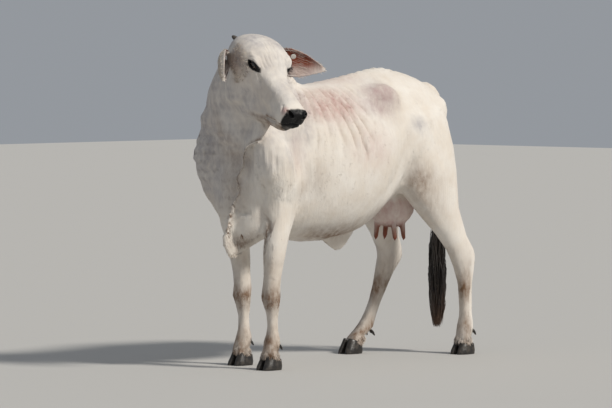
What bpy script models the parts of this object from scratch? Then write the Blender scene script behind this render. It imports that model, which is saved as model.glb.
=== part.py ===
"""A Nelore cow, life size, standing with its head turned to its left: a still model in named solids.

Metres, +Z up. +X runs from the tail to the chest and +Y to the cow's left. The floor is z = 0.
The body is modelled on its own midline and then moved, so that the origin is under the middle of the whole cow.
"""

import math
import random

import bmesh
import bpy
import numpy as np
from mathutils import Euler, Matrix, Vector

# The middle of the cow's box, seen from above, in the body's own frame.
BOX_MIDDLE = Vector((0.0996, 0.1235, 0.0))
GAP = 0.0003

# Heights and lengths of the trunk.
SACRUM_HEIGHT = 1.437
BACK_HEIGHT = 1.352
BELLY_HEIGHT = 0.592
BRISKET_HEIGHT = 0.585
BARREL_HALF_WIDTH = 0.285
HOOK_AT = Vector((-0.215, 0.235, 1.325))
PIN_AT = Vector((-0.755, 0.125, 1.215))
HUMP_TOP = Vector((0.395, 0.0, 1.425))

# The head: the top of the poll, and the way the nose points from there.
POLL = Vector((0.706, 0.146, 1.608))
HEAD_YAW = math.radians(78.0)
HEAD_PITCH = math.radians(40.0)
HEAD_ROLL = math.radians(-2.0)
HEAD_SCALE = (0.97, 1.05, 1.05, 1.0)
HEAD = (
    Matrix.Translation(POLL)
    @ Matrix.Rotation(HEAD_YAW, 4, "Z")
    @ Matrix.Rotation(HEAD_PITCH, 4, "Y")
    @ Matrix.Rotation(HEAD_ROLL, 4, "X")
    @ Matrix.Diagonal(HEAD_SCALE)
)

# Where each foot stands: the middle of its two claws on the floor.
FOOT = {
    "fore_left": Vector((0.605, 0.170, 0.0)),
    "fore_right": Vector((0.490, -0.130, 0.0)),
    "hind_left": Vector((-0.765, 0.200, 0.0)),
    "hind_right": Vector((-0.400, -0.225, 0.0)),
}
SIDE = {"left": 1, "right": -1}

# Where the flesh is parted. A point and the way out of the part, a height, or a distance along the body.
HEAD_BEHIND = ((-0.050, 0, -0.02), (-0.27, 0, -0.145))
HEAD_FLOOR = -0.335
HEAD_HALF_WIDTH = 0.150
NECK_FOOT = (Vector((0.475, 0, 1.33)), Vector((-0.40, 0, -0.30)))
FOREARM_INSIDE = 0.045
FOREARM_SLOPE = (0.070, 0.645, -0.215, 0.230)
FOREARM_BEHIND = 0.080
FOREARM_AHEAD = 0.170
FOREARM_TOP = 0.880
KNEE_HEIGHT = 0.300
THIGH_INSIDE = 0.035
THIGH_FRONT = (Vector((-0.255, 0, 0.80)), Vector((0.32, 0, 0.545)))
THIGH_AHEAD = -0.250
STIFLE_AT = {"left": Vector((-0.560, 0, 0.690)), "right": Vector((-0.520, 0, 0.690))}
HOCK_HEIGHT = 0.415
HUMP_FLOOR = 1.352
HUMP_BEHIND = 0.215
RUMP_FRONT = Vector((-0.115, 0, 1.0))
CHEST_BACK = Vector((0.315, 0, 1.0))
TRUNK_LEAN = 0.10

# How far the cutting blocks reach, how fine the flesh is grown, and how it is thinned.
REACH = 3.0
FLESH_VOXEL = 0.009
SMOOTHING = 6
TRUNK_SMOOTHING = 90
FLESH_TRIANGLES = 3980
LEG_TOP = 0.56
HEAD_COARSENESS = 0.94
LEG_COARSENESS = 0.97
SHARP_ANGLE = 40

# The feet: the coronet above the claws, the claws' rows and the dewclaws behind the fetlocks.
CORONET_X = 0.010
CORONET_HEIGHT = 0.062
CORONET_RISE = 0.30
CLAW_SIDES = 16
CLEFT = 0.004
CLAW_ROWS = [
    (0.000, 0.070, 0.046, 0.047, 0.004),
    (0.020, 0.066, 0.050, 0.048, 0.004),
    (0.050, 0.054, 0.048, 0.046, 0.002),
    (0.100, 0.040, 0.042, 0.040, 0.000),
]
DEWCLAW_RADIUS = 0.0125
DEWCLAW_APART = 0.020
DEWCLAW_LENGTH = 0.026
DEWCLAW_FALL = 0.024
DEWCLAW_AT = {
    "fore_left": Vector((0.572, 0.0, 0.118)),
    "fore_right": Vector((0.457, 0.0, 0.118)),
    "hind_left": Vector((-0.806, 0.0, 0.118)),
    "hind_right": Vector((-0.515, 0.006, 0.108)),
}

# The tail and its switch. Each row of a path: x, y, z, radius.
TAIL_PATH = [
    (-0.620, 0.0, 1.318, 0.036),
    (-0.705, 0.0, 1.322, 0.033),
    (-0.768, 0.0, 1.285, 0.029),
    (-0.796, 0.0, 1.195, 0.025),
    (-0.806, 0.0, 1.080, 0.022),
    (-0.810, 0.0, 0.900, 0.018),
    (-0.802, 0.0, 0.740, 0.015),
    (-0.797, 0.0, 0.640, 0.013),
]
TAIL_JOIN = 1.04
SWITCH_X = -0.792
SWITCH_TOP = 0.690
SWITCH_BOTTOM = 0.118
SWITCH_RADIUS = 0.046
SWITCH_LOCKS = 24
SWITCH_SEED = 5
SWITCH_LOCK_LENGTH = (0.24, 0.34)
SWITCH_LOCK_WIDTH = (0.022, 0.032)
SWITCH_LOCK_THICKNESS = 0.010
SWITCH_ROOT_SUNK = 0.008
SWITCH_CORE = [
    (-0.798, 0.0, 0.700, 0.019),
    (-0.794, 0.0, 0.560, 0.026),
    (-0.792, 0.0, 0.380, 0.030),
    (-0.792, 0.0, 0.230, 0.020),
    (-0.790, 0.0, 0.135, 0.006),
]
GOLDEN_ANGLE = math.pi * (3 - math.sqrt(5))

# The head's small parts, in the head's own frame.
EAR_BASE = Vector((0.048, 0.094, -0.126))
EAR_WAY = {"left": (0.318, 0.934, 0.162), "right": (0.741, -0.572, 0.335)}
EAR_OPENING = {"left": (0.62, -0.46, 0.63), "right": (0.68, 0.58, 0.45)}
EAR_LENGTH = 0.318
EAR_ARC = 9
EAR_ROWS = [
    (-0.12, 0.024, 0.026, 150, 0.000, 0.009),
    (0.08, 0.030, 0.030, 130, 0.000, 0.008),
    (0.25, 0.056, 0.036, 100, 0.000, 0.007),
    (0.45, 0.070, 0.034, 85, 0.005, 0.006),
    (0.68, 0.055, 0.026, 80, 0.022, 0.006),
    (0.88, 0.028, 0.014, 78, 0.046, 0.005),
    (1.00, 0.009, 0.007, 75, 0.066, 0.004),
]
EYE_AT = Vector((0.228, 0.0835, -0.019))
EYE_GAZE = Vector((0.26, 0.92, 0.26))
EYE_RADIUS = 0.0225
LID_THICKNESS = 0.0050
EYE_SIDES = 18
EYE_OPEN_HALF = 0.0220
EYE_OPEN_UP = 0.0158
EYE_OPEN_DOWN = 0.0120
EYE_CORNER = 0.0100
HORN_AT = Vector((-0.006, 0.060, -0.056))
HORN_WAY = Vector((-0.72, 0.66, 0.12))
HORN_ROWS = [(-0.02, 0.012), (0.016, 0.0115), (0.026, 0.009), (0.032, 0.005), (0.034, 0.002)]
# The mouth: a point of its line and how fast the line rises toward the nose.
MOUTH_AT = Vector((0.395, 0.0, -0.188))
MOUTH_RISE = 0.47
MOUTH_OPEN = 0.0022
LIP_DEPTH = 0.010
NOSE_START = 0.492
NOSTRIL_AT = Vector((0.556, 0.037, -0.049))
NOSTRIL_RADII = (0.030, 0.0100, 0.0165)
# The round tag in the left ear: its place as shares of the ear, its discs and its pin.
TAG_ALONG = 0.50
TAG_ACROSS = -0.42
TAG_RADIUS = 0.0135
TAG_THICKNESS = 0.0035
TAG_PIN = 0.0022
TAG_SLACK = 0.0030
TAG_EDGE = 0.0010

# The dewlap. Each row: a point of its root, a point of its free edge, and how far the edge waves.
DEWLAP_ROWS = [
    (0.725, 0.310, 1.260, 0.735, 0.300, 1.180, 0.000),
    (0.690, 0.200, 1.260, 0.725, 0.225, 1.095, 0.004),
    (0.640, 0.080, 1.170, 0.720, 0.130, 1.050, 0.006),
    (0.590, 0.030, 1.050, 0.715, 0.085, 0.970, 0.008),
    (0.570, 0.010, 0.920, 0.715, 0.055, 0.860, 0.008),
    (0.580, 0.000, 0.800, 0.725, 0.040, 0.775, 0.010),
    (0.580, 0.000, 0.710, 0.745, 0.015, 0.690, 0.010),
    (0.560, 0.000, 0.670, 0.745, 0.000, 0.605, 0.006),
    (0.530, 0.000, 0.650, 0.705, 0.000, 0.535, 0.004),
    (0.500, 0.000, 0.650, 0.600, 0.000, 0.560, 0.000),
]
DEWLAP_WAVE = 1.3
DEWLAP_JOIN = 0.800

# The belly: the navel flap's rows of x, drop and half width, the udder and the teats.
NAVEL_ROWS = [
    (0.120, -0.060, 0.010),
    (0.060, 0.000, 0.015),
    (0.000, 0.036, 0.020),
    (-0.050, 0.057, 0.021),
    (-0.100, 0.034, 0.019),
    (-0.160, -0.025, 0.014),
    (-0.230, -0.100, 0.008),
]
UDDER_AT = Vector((-0.450, 0.0, 0.745))
UDDER_RADII = (0.125, 0.105, 0.108)
TEAT_FORE_X = -0.405
TEAT_HIND_X = -0.470
TEAT_Y = 0.052
TEAT_TOP = 0.680
TEAT_LENGTH = 0.105
TEAT_ROWS = [(0.0, 0.016), (0.35, 0.014), (0.75, 0.0115), (0.94, 0.009), (1.0, 0.004)]

# The looks: the start of a node's name, its colour and roughness.
COAT_LOOK = ((0.78, 0.76, 0.73), 0.75)
LOOKS = [
    ("claw", (0.045, 0.040, 0.038), 0.45),
    ("dewclaw", (0.045, 0.040, 0.038), 0.50),
    ("horn", (0.060, 0.050, 0.045), 0.50),
    ("eye", (0.010, 0.009, 0.010), 0.10),
    ("muzzle", (0.030, 0.028, 0.030), 0.45),
    ("teat", (0.230, 0.085, 0.060), 0.60),
    ("udder", (0.720, 0.640, 0.580), 0.70),
    ("ear_tag", (0.850, 0.840, 0.800), 0.40),
    ("tail_switch", (0.030, 0.024, 0.020), 0.70),
]


def through(rows, steps):
    """Rows of numbers read along a smooth curve through the given rows, with this many steps to a span."""
    rows = np.array(rows, float)
    ends = np.vstack([2 * rows[0] - rows[1], rows, 2 * rows[-1] - rows[-2]])
    found = []
    for a, b, c, d in zip(ends, ends[1:], ends[2:], ends[3:]):
        for t in np.arange(steps) / steps:
            cubic = (2 * a - 5 * b + 4 * c - d) * t**2 + (3 * b - a - 3 * c + d) * t**3
            found.append(0.5 * (2 * b + (c - a) * t + cubic))
    return np.array(found + [rows[-1]])


def oval(middle, across, upward, sides, top, bottom, half_width, other_half=None, top_power=2.0, low_power=2.0):
    """A ring of points round a middle: its reach is top and bottom along upward, and half_width across."""
    ring = []
    other_half = half_width if other_half is None else other_half
    for angle in np.arange(sides) * 2 * math.pi / sides:
        along, high = math.cos(angle), math.sin(angle)
        power = top_power if high >= 0 else low_power
        reach = top if high >= 0 else bottom
        width = half_width if along >= 0 else other_half
        ring.append(
            middle
            + across * math.copysign(abs(along) ** (2 / power), along) * width
            + upward * math.copysign(abs(high) ** (2 / power), high) * reach
        )
    return ring


def loft(rings):
    """A bmesh of one closed tube over rings of points that have the same count."""
    made = bmesh.new()
    loops = []
    for ring in rings:
        corners = [made.verts.new(point) for point in ring]
        loops.append([made.edges.new(pair) for pair in zip(corners, corners[1:] + corners[:1])])
    for lower, upper in zip(loops, loops[1:]):
        bmesh.ops.bridge_loops(made, edges=lower + upper)
    for end in (loops[0], loops[-1]):
        bmesh.ops.contextual_create(made, geom=end)
    bmesh.ops.recalc_face_normals(made, faces=made.faces)
    if made.calc_volume(signed=True) < 0:
        bmesh.ops.reverse_faces(made, faces=made.faces)
    return made


def ball(middle, radii, turn=(0, 0, 0), place=Matrix.Identity(4), segments=20, rings=12):
    """A bmesh of an egg shape with these radii, turned by three angles in degrees, in the frame place."""
    made = bmesh.new()
    bmesh.ops.create_uvsphere(made, u_segments=segments, v_segments=rings, radius=1.0)
    turned = Euler([math.radians(angle) for angle in turn]).to_matrix().to_4x4()
    scaled = Matrix.Diagonal((*radii, 1.0))
    made.transform(place @ Matrix.Translation(middle) @ turned @ scaled)
    return made


def trunk():
    """The ribs, belly, loin and pelvis.

    Each row: x, top, bottom, half width, height of the widest place, top power.
    """
    rows = [
        (-0.770, 1.240, 1.080, 0.050, 1.160, 2.0),
        (-0.725, 1.325, 1.000, 0.110, 1.170, 1.8),
        (-0.620, 1.380, 0.900, 0.152, 1.180, 1.6),
        (-0.480, 1.415, 0.820, 0.190, 1.170, 1.5),
        (-0.360, SACRUM_HEIGHT, 0.770, 0.220, 1.150, 1.45),
        (-0.215, 1.420, 0.675, 0.248, 1.060, 1.5),
        (-0.080, 1.392, 0.618, 0.272, 0.990, 1.7),
        (0.090, 1.364, 0.594, BARREL_HALF_WIDTH, 0.950, 1.8),
        (0.240, BACK_HEIGHT, BELLY_HEIGHT, 0.268, 0.950, 1.8),
        (0.380, 1.350, 0.610, 0.232, 0.960, 1.7),
        (0.490, 1.310, 0.612, 0.208, 0.950, 1.8),
        (0.570, 1.200, 0.592, 0.190, 0.920, 2.0),
        (0.635, 1.080, 0.585, 0.160, 0.880, 2.0),
        (0.685, 0.950, 0.610, 0.095, 0.820, 2.0),
    ]
    rings = []
    for x, top, bottom, half, widest, power in through(rows, 4):
        middle = Vector((x, 0, widest))
        rings.append(
            oval(middle, Vector((0, 1, 0)), Vector((0, 0, 1)), 32, top - widest, widest - bottom, half,
                 top_power=power, low_power=2.15)
        )
    return loft(rings)


def neck():
    """The neck rises from between the shoulders and turns left.

    Each row: its middle, the way of its crest, how far the crest and the throat reach, and its half width.
    """
    rows = [
        (0.400, 0.000, 1.030, -0.70, 0.00, 0.72, 0.280, 0.310, 0.190),
        (0.505, -0.005, 1.100, -0.75, 0.00, 0.66, 0.250, 0.220, 0.232),
        (0.565, -0.015, 1.190, -0.82, -0.05, 0.57, 0.215, 0.185, 0.215),
        (0.605, -0.020, 1.285, -0.85, -0.20, 0.45, 0.180, 0.155, 0.178),
        (0.635, 0.012, 1.375, -0.75, -0.50, 0.40, 0.155, 0.140, 0.132),
        (0.655, 0.068, 1.445, -0.50, -0.75, 0.42, 0.138, 0.128, 0.102),
        (0.675, 0.115, 1.500, -0.28, -0.85, 0.44, 0.115, 0.110, 0.092),
    ]
    path = through(rows, 4)
    rings = []
    for i, row in enumerate(path):
        ahead = Vector(path[min(i + 1, len(path) - 1)][:3]) - Vector(path[max(i - 1, 0)][:3])
        ahead.normalize()
        crest = Vector(row[3:6])
        across = crest.cross(ahead).normalized()
        crest = ahead.cross(across).normalized()
        rings.append(oval(Vector(row[:3]), across, crest, 28, row[6], row[7], row[8]))
    return loft(rings)


def limb(rows, sides=20, power=2.2):
    """A leg's flesh as level rings.

    Each row: height, x, y, and the reach forward, back, outward and inward.
    """
    rings = []
    for z, x, y, front, back, outer, inner in through(rows, 3):
        outward = Vector((0, 1 if y >= 0 else -1, 0))
        ring = []
        for angle in np.arange(sides) * 2 * math.pi / sides:
            ahead, out = math.cos(angle), math.sin(angle)
            reach_x = (front if ahead >= 0 else back) * math.copysign(abs(ahead) ** (2 / power), ahead)
            reach_y = (outer if out >= 0 else inner) * math.copysign(abs(out) ** (2 / power), out)
            ring.append(Vector((x + reach_x, y, z)) + outward * reach_y)
        rings.append(ring)
    return loft(rings)


def elbow_x(side):
    """How far forward the elbow is: it follows its foot part of the way."""
    return 0.485 + (FOOT["fore_" + side].x - FOOT["fore_left"].x) * 0.30


def foreleg(side):
    """A foreleg from the elbow down to the coronet, over its own foot."""
    foot, s = FOOT["fore_" + side], SIDE[side]
    x, y = foot.x, foot.y
    elbow = elbow_x(side)
    elbow_y = s * 0.165
    lean = FOOT["fore_left"].x - x
    rows = [
        (0.900, elbow + 0.050, elbow_y, 0.130, 0.110, 0.060, 0.070),
        (0.800, elbow + 0.040, elbow_y, 0.115, 0.100, 0.058, 0.070),
        (0.720, elbow + 0.045, elbow_y, 0.085, 0.090, 0.055, 0.060),
        (0.640, (elbow + x) / 2 + 0.015 + lean * 0.2, (elbow_y + y) / 2, 0.066, 0.074, 0.054, 0.050),
        (0.540, x - 0.028 + lean * 0.35, y, 0.054, 0.058, 0.048, 0.044),
        (0.440, x - 0.016 + lean * 0.10, y, 0.043, 0.045, 0.039, 0.038),
        (0.385, x - 0.010, y, 0.045, 0.044, 0.041, 0.040),
        (0.340, x - 0.008, y, 0.050, 0.044, 0.044, 0.042),
        (0.295, x - 0.012, y, 0.038, 0.038, 0.034, 0.034),
        (0.240, x - 0.016, y, 0.027, 0.031, 0.026, 0.026),
        (0.185, x - 0.016, y, 0.027, 0.032, 0.027, 0.027),
        (0.135, x - 0.014, y, 0.037, 0.044, 0.038, 0.038),
        (0.095, x - 0.002, y, 0.036, 0.036, 0.038, 0.038),
        (0.055, x + 0.006, y, 0.046, 0.044, 0.046, 0.046),
        (0.030, x + 0.006, y, 0.046, 0.044, 0.046, 0.046),
    ]
    return limb(rows)


def hind_leg(side):
    """A hind leg from the hip down to the coronet, over its own foot."""
    foot, s = FOOT["hind_" + side], SIDE[side]
    x, y = foot.x, foot.y
    if side == "left":
        rows = [
            (1.220, -0.490, 0.105, 0.200, 0.215, 0.060, 0.070),
            (1.080, -0.500, 0.140, 0.215, 0.225, 0.088, 0.080),
            (0.940, -0.525, 0.155, 0.205, 0.205, 0.100, 0.085),
            (0.820, -0.545, 0.165, 0.185, 0.190, 0.090, 0.080),
            (0.730, -0.585, 0.178, 0.150, 0.150, 0.073, 0.068),
            (0.650, -0.645, 0.188, 0.122, 0.115, 0.058, 0.055),
            (0.580, -0.700, 0.194, 0.102, 0.088, 0.047, 0.047),
            (0.520, -0.740, 0.198, 0.088, 0.092, 0.042, 0.042),
            (0.470, -0.758, 0.200, 0.076, 0.084, 0.042, 0.042),
            (0.420, -0.768, 0.200, 0.058, 0.062, 0.038, 0.038),
            (0.350, -0.776, 0.200, 0.042, 0.044, 0.031, 0.031),
            (0.240, -0.780, 0.200, 0.034, 0.038, 0.028, 0.028),
            (0.185, -0.780, 0.200, 0.036, 0.040, 0.030, 0.030),
            (0.135, -0.776, 0.200, 0.043, 0.047, 0.040, 0.040),
            (0.095, x - 0.002, y, 0.038, 0.036, 0.038, 0.038),
            (0.055, x + 0.006, y, 0.046, 0.044, 0.046, 0.046),
            (0.030, x + 0.006, y, 0.046, 0.044, 0.046, 0.046),
        ]
    else:
        rows = [
            (1.220, -0.480, -0.105, 0.210, 0.205, 0.060, 0.070),
            (1.080, -0.490, -0.140, 0.215, 0.215, 0.088, 0.080),
            (0.940, -0.510, -0.155, 0.205, 0.205, 0.100, 0.085),
            (0.820, -0.515, -0.162, 0.180, 0.180, 0.090, 0.080),
            (0.730, -0.530, -0.168, 0.145, 0.150, 0.073, 0.068),
            (0.650, -0.560, -0.170, 0.105, 0.115, 0.058, 0.055),
            (0.580, -0.595, -0.172, 0.085, 0.088, 0.047, 0.047),
            (0.520, -0.622, -0.175, 0.076, 0.090, 0.042, 0.042),
            (0.465, -0.625, -0.178, 0.072, 0.086, 0.042, 0.042),
            (0.404, -0.598, -0.182, 0.058, 0.062, 0.037, 0.037),
            (0.320, -0.567, -0.190, 0.042, 0.046, 0.031, 0.031),
            (0.230, -0.533, -0.203, 0.037, 0.040, 0.028, 0.028),
            (0.175, -0.512, -0.211, 0.038, 0.042, 0.030, 0.030),
            (0.127, -0.488, -0.218, 0.044, 0.048, 0.040, 0.040),
            (0.090, x - 0.045, y, 0.044, 0.042, 0.038, 0.038),
            (0.055, x - 0.010, y, 0.048, 0.046, 0.046, 0.046),
            (0.030, x + 0.006, y, 0.046, 0.044, 0.046, 0.046),
        ]
    return limb(rows)


def head_flesh():
    """The skull, face and jaw, in the head's own frame.

    x runs from poll to nose, y to its left, z out of the forehead.
    """
    skull = [
        (-0.022, -0.050, -0.130, 0.052, -0.085),
        (0.010, -0.006, -0.175, 0.088, -0.078),
        (0.060, 0.022, -0.205, 0.115, -0.062),
        (0.120, 0.038, -0.215, 0.127, -0.050),
        (0.178, 0.036, -0.210, 0.125, -0.046),
        (0.235, 0.017, -0.200, 0.104, -0.056),
        (0.305, -0.012, -0.182, 0.076, -0.078),
        (0.385, -0.020, -0.162, 0.059, -0.086),
        (0.452, -0.022, -0.152, 0.058, -0.090),
        (0.500, -0.024, -0.146, 0.064, -0.090),
        (0.538, -0.031, -0.142, 0.064, -0.092),
        (0.562, -0.043, -0.134, 0.053, -0.094),
        (0.574, -0.064, -0.118, 0.034, -0.094),
    ]
    jaw = [
        (0.040, -0.130, -0.245, 0.044, -0.180),
        (0.085, -0.120, -0.305, 0.068, -0.195),
        (0.145, -0.115, -0.332, 0.074, -0.205),
        (0.220, -0.115, -0.318, 0.064, -0.200),
        (0.315, -0.112, -0.276, 0.050, -0.182),
        (0.400, -0.104, -0.228, 0.042, -0.160),
        (0.460, -0.098, -0.200, 0.045, -0.150),
        (0.512, -0.098, -0.180, 0.044, -0.142),
        (0.540, -0.110, -0.162, 0.030, -0.136),
    ]
    pieces = []
    for rows, power in ((skull, 2.5), (jaw, 2.2)):
        rings = []
        for x, top, bottom, half, widest in through(rows, 3):
            middle = Vector((x, 0, widest))
            rings.append(
                oval(middle, Vector((0, 1, 0)), Vector((0, 0, 1)), 28, top - widest, widest - bottom, half,
                     top_power=power)
            )
        made = loft(rings)
        made.transform(HEAD)
        pieces.append(made)
    for s in (1, -1):
        pieces.append(ball((0.218, s * 0.089, -0.024), (0.050, 0.029, 0.042), (0, 0, s * -14), HEAD))
        pieces.append(ball((0.150, s * 0.062, -0.190), (0.100, 0.040, 0.095), (0, 15, 0), HEAD))
        pieces.append(ball((0.534, s * 0.040, -0.068), (0.036, 0.027, 0.034), (0, 0, 0), HEAD))
    return pieces


def muscles():
    """Egg shapes that give the shoulders, hips, buttocks and hump their swell."""
    pieces = [
        ball(HUMP_TOP - Vector((0, 0, 0.085)), (0.150, 0.060, 0.085), (0, 8, 0)),
        ball((0.600, 0.0, 0.690), (0.095, 0.110, 0.115), (0, 0, 0)),
        ball((0.600, 0.0, 0.880), (0.105, 0.160, 0.200), (0, 0, 0)),
    ]
    for s in (1, -1):
        ahead = 0.0 if s > 0 else 0.025
        pieces += [
            ball((0.500, s * 0.130, 1.080), (0.110, 0.085, 0.235), (0, 22, 0)),
            ball((0.590 + ahead, s * 0.180, 0.970), (0.110, 0.095, 0.190), (0, 20, 0)),
            ball((0.490, s * 0.165, 0.870), (0.150, 0.072, 0.110), (0, 25, 0)),
            ball((HOOK_AT.x, s * (HOOK_AT.y - 0.105), HOOK_AT.z - 0.060), (0.130, 0.085, 0.085), (0, 0, 0)),
            ball((PIN_AT.x + 0.07, s * (PIN_AT.y - 0.05), PIN_AT.z), (0.085, 0.060, 0.085), (0, 0, 0)),
            ball((-0.585, s * 0.120, 1.060), (0.150, 0.095, 0.220), (0, 8, 0)),
            ball((-0.420, s * 0.145, 1.070), (0.180, 0.100, 0.190), (0, -20, 0)),
        ]
    return pieces


def object_of(made, name):
    """A scene object over a bmesh, which is used up."""
    mesh = bpy.data.meshes.new(name)
    made.to_mesh(mesh)
    made.free()
    thing = bpy.data.objects.new(name, mesh)
    bpy.context.scene.collection.objects.link(thing)
    return thing


def joined(pieces, name):
    """One object that holds several bmeshes side by side."""
    whole = bmesh.new()
    for piece in pieces:
        mesh = bpy.data.meshes.new("piece")
        piece.to_mesh(mesh)
        piece.free()
        whole.from_mesh(mesh)
        bpy.data.meshes.remove(mesh)
    return object_of(whole, name)


def applied(thing):
    """The object with its modifiers made real."""
    graph = bpy.context.evaluated_depsgraph_get()
    mesh = bpy.data.meshes.new_from_object(thing.evaluated_get(graph))
    old = thing.data
    thing.modifiers.clear()
    thing.data = mesh
    bpy.data.meshes.remove(old)
    return thing


def grown_together(pieces, name, voxel, smoothing, broad_smoothing, broadness):
    """The pieces as one skin: a voxel remesh, a light smoothing, and a strong one where broadness says so."""
    thing = joined(pieces, name)
    remesh = thing.modifiers.new("Remesh", "REMESH")
    remesh.mode = "VOXEL"
    remesh.voxel_size = voxel
    applied(thing)
    group = thing.vertex_groups.new(name="broad")
    for vertex in thing.data.vertices:
        group.add([vertex.index], broadness(vertex.co), "REPLACE")
    for iterations, group_name in ((broad_smoothing, "broad"), (smoothing, "")):
        smooth = thing.modifiers.new("Smooth", "SMOOTH")
        smooth.factor = 0.5
        smooth.iterations = iterations
        smooth.vertex_group = group_name
    return applied(thing)


def trunk_share(point):
    """1 on the trunk and lower neck, falling to 0 on the head and down the legs."""
    up_leg = min(max((point.z - 0.56) / 0.20, 0.0), 1.0)
    from_head = min(max(((point - POLL).length - 0.22) / 0.20, 0.0), 1.0)
    local = HEAD.inverted() @ point
    jaw_clear = min(max((-local.z - 0.27) / 0.06, 0.0), 1.0) if local.x > 0 else 1.0
    return up_leg * min(from_head, jaw_clear)


def region(planes, room=0.0):
    """A closed convex block behind all the planes, each a point and the way out of it, with room added."""
    made = bmesh.new()
    bmesh.ops.create_cube(made, size=2 * REACH)
    for point, outward in planes:
        outward = Vector(outward).normalized()
        bmesh.ops.bisect_plane(
            made, geom=made.verts[:] + made.edges[:] + made.faces[:], dist=1e-7,
            plane_co=Vector(point) + outward * room, plane_no=outward, clear_outer=True,
        )
        rim = [edge for edge in made.edges if edge.is_boundary]
        bmesh.ops.contextual_create(made, geom=rim)
    bmesh.ops.recalc_face_normals(made, faces=made.faces)
    return made


def cut(thing, made, operation, solver="EXACT"):
    """The object after one Boolean with a bmesh, which is used up."""
    tool = object_of(made, "tool")
    boolean = thing.modifiers.new("Boolean", "BOOLEAN")
    boolean.operation = operation
    boolean.solver = solver
    boolean.object = tool
    applied(thing)
    bpy.data.objects.remove(tool)
    return thing


def copy_of(thing, name):
    """A second object with the same mesh data copied."""
    twin = bpy.data.objects.new(name, thing.data.copy())
    bpy.context.scene.collection.objects.link(twin)
    return twin


def carved(rest, planes, name):
    """Parts the flesh: what lies in the block becomes a new object, and the rest keeps clear of it."""
    piece = cut(copy_of(rest, name), region(planes), "INTERSECT")
    cut(rest, region(planes, GAP), "DIFFERENCE")
    return piece


def grown(thing, reach):
    """A bmesh of the object with every corner moved out along its normal, or in where reach is negative."""
    made = bmesh.new()
    made.from_mesh(thing.data)
    made.normal_update()
    for vertex in made.verts:
        vertex.co += vertex.normal * reach
    return made


def largest(thing):
    """The object with only its largest closed surface kept."""
    made = bmesh.new()
    made.from_mesh(thing.data)
    left = set(made.faces)
    groups = []
    while left:
        group, front = set(), [left.pop()]
        while front:
            face = front.pop()
            group.add(face)
            for edge in face.edges:
                for near in edge.link_faces:
                    if near in left:
                        left.remove(near)
                        front.append(near)
        groups.append(group)
    keep = max(groups, key=lambda group: sum(face.calc_area() for face in group))
    drop = [face for face in made.faces if face not in keep]
    bmesh.ops.delete(made, geom=drop, context="FACES")
    made.to_mesh(thing.data)
    made.free()
    return thing


def fused(pieces, name):
    """One closed body out of several bmeshes, by one union of a collection."""
    thing = object_of(pieces[0], name)
    collection = bpy.data.collections.new(name)
    tools = [object_of(piece, "tool") for piece in pieces[1:]]
    for tool in tools:
        collection.objects.link(tool)
    boolean = thing.modifiers.new("Boolean", "BOOLEAN")
    boolean.operation = "UNION"
    boolean.operand_type = "COLLECTION"
    boolean.collection = collection
    applied(thing)
    for tool in tools:
        bpy.data.objects.remove(tool)
    bpy.data.collections.remove(collection)
    return largest(thing)


def whole_flesh():
    """All the flesh in one skin, thinned to few triangles, with more of them left on the head."""
    pieces = [trunk(), neck(), *head_flesh(), *muscles()]
    for side in SIDE:
        pieces += [foreleg(side), hind_leg(side)]
    flesh = grown_together(pieces, "flesh", FLESH_VOXEL, SMOOTHING, TRUNK_SMOOTHING, trunk_share)
    group = flesh.vertex_groups.new(name="coarse")
    for vertex in flesh.data.vertices:
        local = HEAD.inverted() @ vertex.co
        in_face = local.x > 0.0 and local.z > -0.34
        on_leg = vertex.co.z < LEG_TOP
        share = HEAD_COARSENESS if in_face else LEG_COARSENESS if on_leg else 1.0
        group.add([vertex.index], share, "REPLACE")
    thin = flesh.modifiers.new("Decimate", "DECIMATE")
    thin.ratio = FLESH_TRIANGLES / (2 * len(flesh.data.polygons))
    thin.vertex_group = group.name
    thin.vertex_group_factor = 1.0
    thin.use_collapse_triangulate = True
    return applied(flesh)


def in_head(x, y, z):
    """A point of the head's own frame in the body's frame."""
    return HEAD @ Vector((x, y, z))


def head_way(x, y, z):
    """A direction of the head's own frame in the body's frame."""
    return HEAD.to_3x3() @ Vector((x, y, z))


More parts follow.
